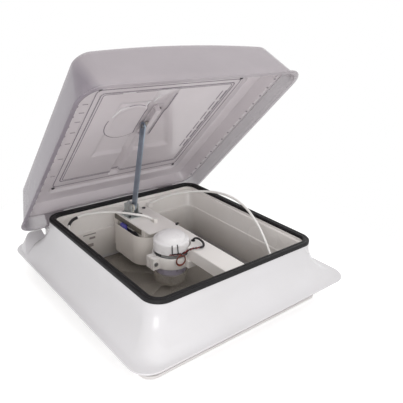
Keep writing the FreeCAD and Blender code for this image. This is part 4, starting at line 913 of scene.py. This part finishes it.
# ---------------------------------------------------------------- controls and marks in the well
def plug_mesh():
    """Ribbed plug at the back of the open channel."""
    pieces = [block(-53.1, -46.7, 112.0, 132.0, 20.0, 49.6, 1.0)]
    for step in range(5):
        low = 113.0 + 3.9 * step
        pieces.append(block(-52.6, -47.2, low, low + 2.2, 49.0, 51.0, 0.4))
    return joined("plug", pieces)


def relay_mesh():
    """Relay and capacitor on the control board."""
    can = [(0.2, 20.0), (2.7, 20.0), (3.0, 20.4), (3.0, 39.0), (2.7, 39.7), (0.2, 40.0)]
    capacitor = mesh_of("capacitor", *lathe(can, -49.8, 105.0, steps=24, closed=False))
    return joined("relay", [block(-53.1, -46.7, 88.0, 99.0, 10.0, 36.0, 0.8), capacitor])


def wall_marks():
    """Plain raised pads on the back wall of the well."""
    pads = ((-120.0, -90.0, 19.0, 21.4), (-106.0, -92.0, 8.0, 13.0), (-110.0, -97.0, -10.0, -2.5))
    return joined("marks", [block(x0, x1, WELL_BACK, WELL_BACK + 0.7, z0, z1, 0.3)
                            for x0, x1, z0, z1 in pads])


link("board_plug", plug_mesh(), "base", BLUE_PLUG, ["board_parts"], sharp=40)
link("board_relay", relay_mesh(), "base", BLACK, sharp=40)
# A grey sheet on the box's side, put there as painted shade in the open channel.
link("box_side_painted_shade", block(-43.9, -43.05, 62.0, 170.0, 46.2, 57.8, 0.3), "base", PAINTED_SHADE_GREY, sharp=40)
link("wall_pads", wall_marks(), "base", MARK_GREY, sharp=40)


# ---------------------------------------------------------------- conduits
def left_conduit_meshes():
    """Tip, black sleeve and tube of the left conduit, cut from one line so that they meet."""
    line = spline_points(LEFT_SLEEVE_ROUTE + LEFT_ROUTE[1:], 320)
    first = next(index for index, point in enumerate(line) if point.x > -164.0 and point.z > 66.0)
    last = next(index for index, point in enumerate(line) if point.x > -135.0)
    return (tube(line[:first + 2], CONDUIT_RADIUS), tube(line[first:last], LEFT_SLEEVE_RADIUS),
            tube(line[last - 2:], CONDUIT_RADIUS))


tip, sleeve, rest = left_conduit_meshes()
link("left_conduit_tip", tip, "base", CONDUIT, sharp=0)
link("left_conduit_sleeve", sleeve, "base", BLACK, ["left_sleeve"], sharp=50)
link("left_conduit_tube", rest, "base", CONDUIT, ["left_conduit"], sharp=0)
arc = link("right_conduit_tube", tube(spline_points(RIGHT_ROUTE, 300), CONDUIT_RADIUS), "base", CONDUIT,
           ["right_conduit"], sharp=0)
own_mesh(arc)


# ---------------------------------------------------------------- carried-over pieces
for node, material, edge in (
        ("trim_ring", TRIM, 0.6), ("screen_frame", BLACK, 0.5), ("insect_screen", SCREEN, 0.0),
        ("crossbar", WHITE_SATIN, 0.5), ("bar_screws", SCREW, 0.2), ("control_pocket", POD_WHITE, 0.7),
        ("pocket_cover", WHITE_SATIN, 0.5), ("control_board", BOARD, 0.2), ("hinge_rail", WHITE_GLOSS, 1.5),
        ("lift_bracket", PALE_ZINC, 0.3), ("bracket_screws", SCREW, 0.2), ("pivot_pin", STEEL, 0.3),
        ("crank_shaft", STEEL, 0.2), ("crank_knob", NYLON, 0.6), ("lift_arm", ZINC, 0.4),
        ("arm_sector", NYLON, 0.2), ("arm_spacer", NYLON, 0.3), ("track_slider", NYLON, 0.4),
        ("slider_pin", STEEL, 0.4), ("panel_screws", SCREW, 0.3), ("slider_track", PANEL_CLEAR, 0.3),
        ("track_screws", SCREW, 0.2), ("hinge_brackets", WHITE_METAL, 0.3), ("hinge_pins", STEEL, 0.3),
        ("hinge_bracket_screws", SCREW, 0.2), ("hinge_leaves", WHITE_METAL, 0.3), ("leaf_rivets", STEEL, 0.3),
        ("motor_can", CAN_PAINT, 0.4), ("motor_band", STEEL, 0.2), ("clamp_front", WHITE_SATIN, 0.5),
        ("clamp_back", WHITE_SATIN, 0.5), ("clamp_screw", STEEL, 0.3), ("clamp_pads", RUBBER, 0.2),
        ("motor_shaft", STEEL, 0.2), ("fan_nut", STEEL, 0.3), ("conduit_sockets", WHITE_SATIN, 0.5),
        ("bar_grommet", BLACK, 0.2), ("bar_clip", BLACK, 0.3), ("pocket_wires", BLACK, 0.0)):
    cad_finish(node, material, edge)


# ---------------------------------------------------------------- camera, floor and light
def camera():
    """Camera beyond the front left corner, looking down and rolled a little."""
    data = bpy.data.cameras.new("camera")
    data.sensor_width = 36.0
    data.lens = 43.31
    data.clip_start, data.clip_end = 0.01, 50.0
    holder = bpy.data.objects.new("camera", data)
    bpy.context.scene.collection.objects.link(holder)
    azimuth, pitch, roll = math.radians(40.43), math.radians(22.26), math.radians(2.62)
    ahead = Vector((math.sin(azimuth) * math.cos(pitch), math.cos(azimuth) * math.cos(pitch),
                    -math.sin(pitch)))
    right = Vector((math.cos(azimuth), -math.sin(azimuth), 0))
    up = right.cross(ahead)
    turned_right = right * math.cos(roll) + up * math.sin(roll)
    turned_up = up * math.cos(roll) - right * math.sin(roll)
    facing = Matrix((turned_right, turned_up, -ahead)).transposed().to_4x4()
    holder.matrix_world = Matrix.Translation(Vector((-536.08, -703.14, 497.42)) * MM) @ facing
    bpy.context.scene.camera = holder


def seen_directly(tree):
    """1 for rays that show a background: the camera's, mirror and glass rays."""
    rays = tree.nodes.new("ShaderNodeLightPath").outputs
    seen = calculated(tree, "MAXIMUM", rays["Is Camera Ray"], rays["Is Glossy Ray"])
    return calculated(tree, "MAXIMUM", seen, rays["Is Transmission Ray"])


def surroundings():
    """White background whose light on the object is stronger from the front right."""
    world = bpy.data.worlds.new("studio")
    bpy.context.scene.world = world
    world.use_nodes = True
    tree = world.node_tree
    nodes, links = tree.nodes, tree.links
    background = next(node for node in nodes if node.type == "BACKGROUND")
    background.inputs["Color"].default_value = (0.97, 0.955, 0.945, 1)
    toward = nodes.new("ShaderNodeTexCoord")
    facing = nodes.new("ShaderNodeVectorMath")
    facing.operation = "DOT_PRODUCT"
    facing.inputs[1].default_value = (0.36, -0.88, 0.3)
    links.new(toward.outputs["Generated"], facing.inputs[0])
    level = mapped(tree, facing.outputs["Value"], 0.46, 1.0, -1.0, 1.0)
    links.new(level.outputs["Result"], background.inputs["Strength"])
    white = nodes.new("ShaderNodeBackground")
    white.inputs["Color"].default_value = (1, 1, 1, 1)
    mix = nodes.new("ShaderNodeMixShader")
    links.new(seen_directly(tree), mix.inputs["Fac"])
    links.new(background.outputs["Background"], mix.inputs[1])
    links.new(white.outputs["Background"], mix.inputs[2])
    output = next(node for node in nodes if node.type == "OUTPUT_WORLD")
    links.new(mix.outputs["Shader"], output.inputs["Surface"])


def floor():
    """Pale floor that rises to plain white away from the object, so no horizon shows."""
    lowest = CAD_BOX[0].z - 0.0004
    mesh = bpy.data.meshes.new("floor")
    reach = 12.0
    corners = [(x * reach, y * reach, lowest) for x, y in ((-1, -1), (1, -1), (1, 1), (-1, 1))]
    mesh.from_pydata(corners, [], [(0, 1, 2, 3)])
    material = bpy.data.materials.new("floor")
    material.use_nodes = True
    tree = material.node_tree
    nodes, links = tree.nodes, tree.links
    shader = next(node for node in nodes if node.type == "BSDF_PRINCIPLED")
    shader.inputs["Base Color"].default_value = (0.88, 0.88, 0.88, 1)
    shader.inputs["Roughness"].default_value = 0.9
    shader.inputs["Specular IOR Level"].default_value = 0.1
    seen = seen_directly(tree)
    glow = nodes.new("ShaderNodeEmission")
    links.new(calculated(tree, "MULTIPLY", seen, 0.5), glow.inputs["Strength"])
    near = nodes.new("ShaderNodeAddShader")
    links.new(shader.outputs["BSDF"], near.inputs[0])
    links.new(glow.outputs["Emission"], near.inputs[1])
    place = nodes.new("ShaderNodeNewGeometry").outputs["Position"]
    length = nodes.new("ShaderNodeVectorMath")
    length.operation = "LENGTH"
    links.new(place, length.inputs[0])
    fade = mapped(tree, length.outputs["Value"], 0.0, 1.0, 0.3, 0.62)
    fade.interpolation_type = "SMOOTHSTEP"
    white = nodes.new("ShaderNodeEmission")
    mix = nodes.new("ShaderNodeMixShader")
    links.new(calculated(tree, "MULTIPLY", fade.outputs["Result"], seen), mix.inputs["Fac"])
    links.new(near.outputs["Shader"], mix.inputs[1])
    links.new(white.outputs["Emission"], mix.inputs[2])
    output = next(node for node in nodes if node.type == "OUTPUT_MATERIAL")
    links.new(mix.outputs["Shader"], output.inputs["Surface"])
    mesh.materials.append(material)
    plane = bpy.data.objects.new("floor", mesh)
    bpy.context.scene.collection.objects.link(plane)


def lamp(name, place, size, power, colour=(1, 1, 1)):
    """Area lamp that faces the object, its place and size in metres and its power in watts."""
    data = bpy.data.lights.new(name, "AREA")
    data.shape = "RECTANGLE"
    data.size, data.size_y = size
    data.energy = power
    data.color = colour
    holder = bpy.data.objects.new(name, data)
    bpy.context.scene.collection.objects.link(holder)
    holder.location = place
    aim = Vector((0, 0, 0.05)) - Vector(place)
    holder.rotation_euler = aim.to_track_quat("-Z", "Y").to_euler()


camera()
surroundings()
floor()
lamp("overhead", (0.0, -0.5, 1.9), (1.8, 1.5), 9)
lamp("front_left", (-0.74, -0.8, 0.24), (0.4, 0.4), 2.2, (1.0, 0.985, 0.985))
bpy.context.scene.view_settings.view_transform = "Standard"
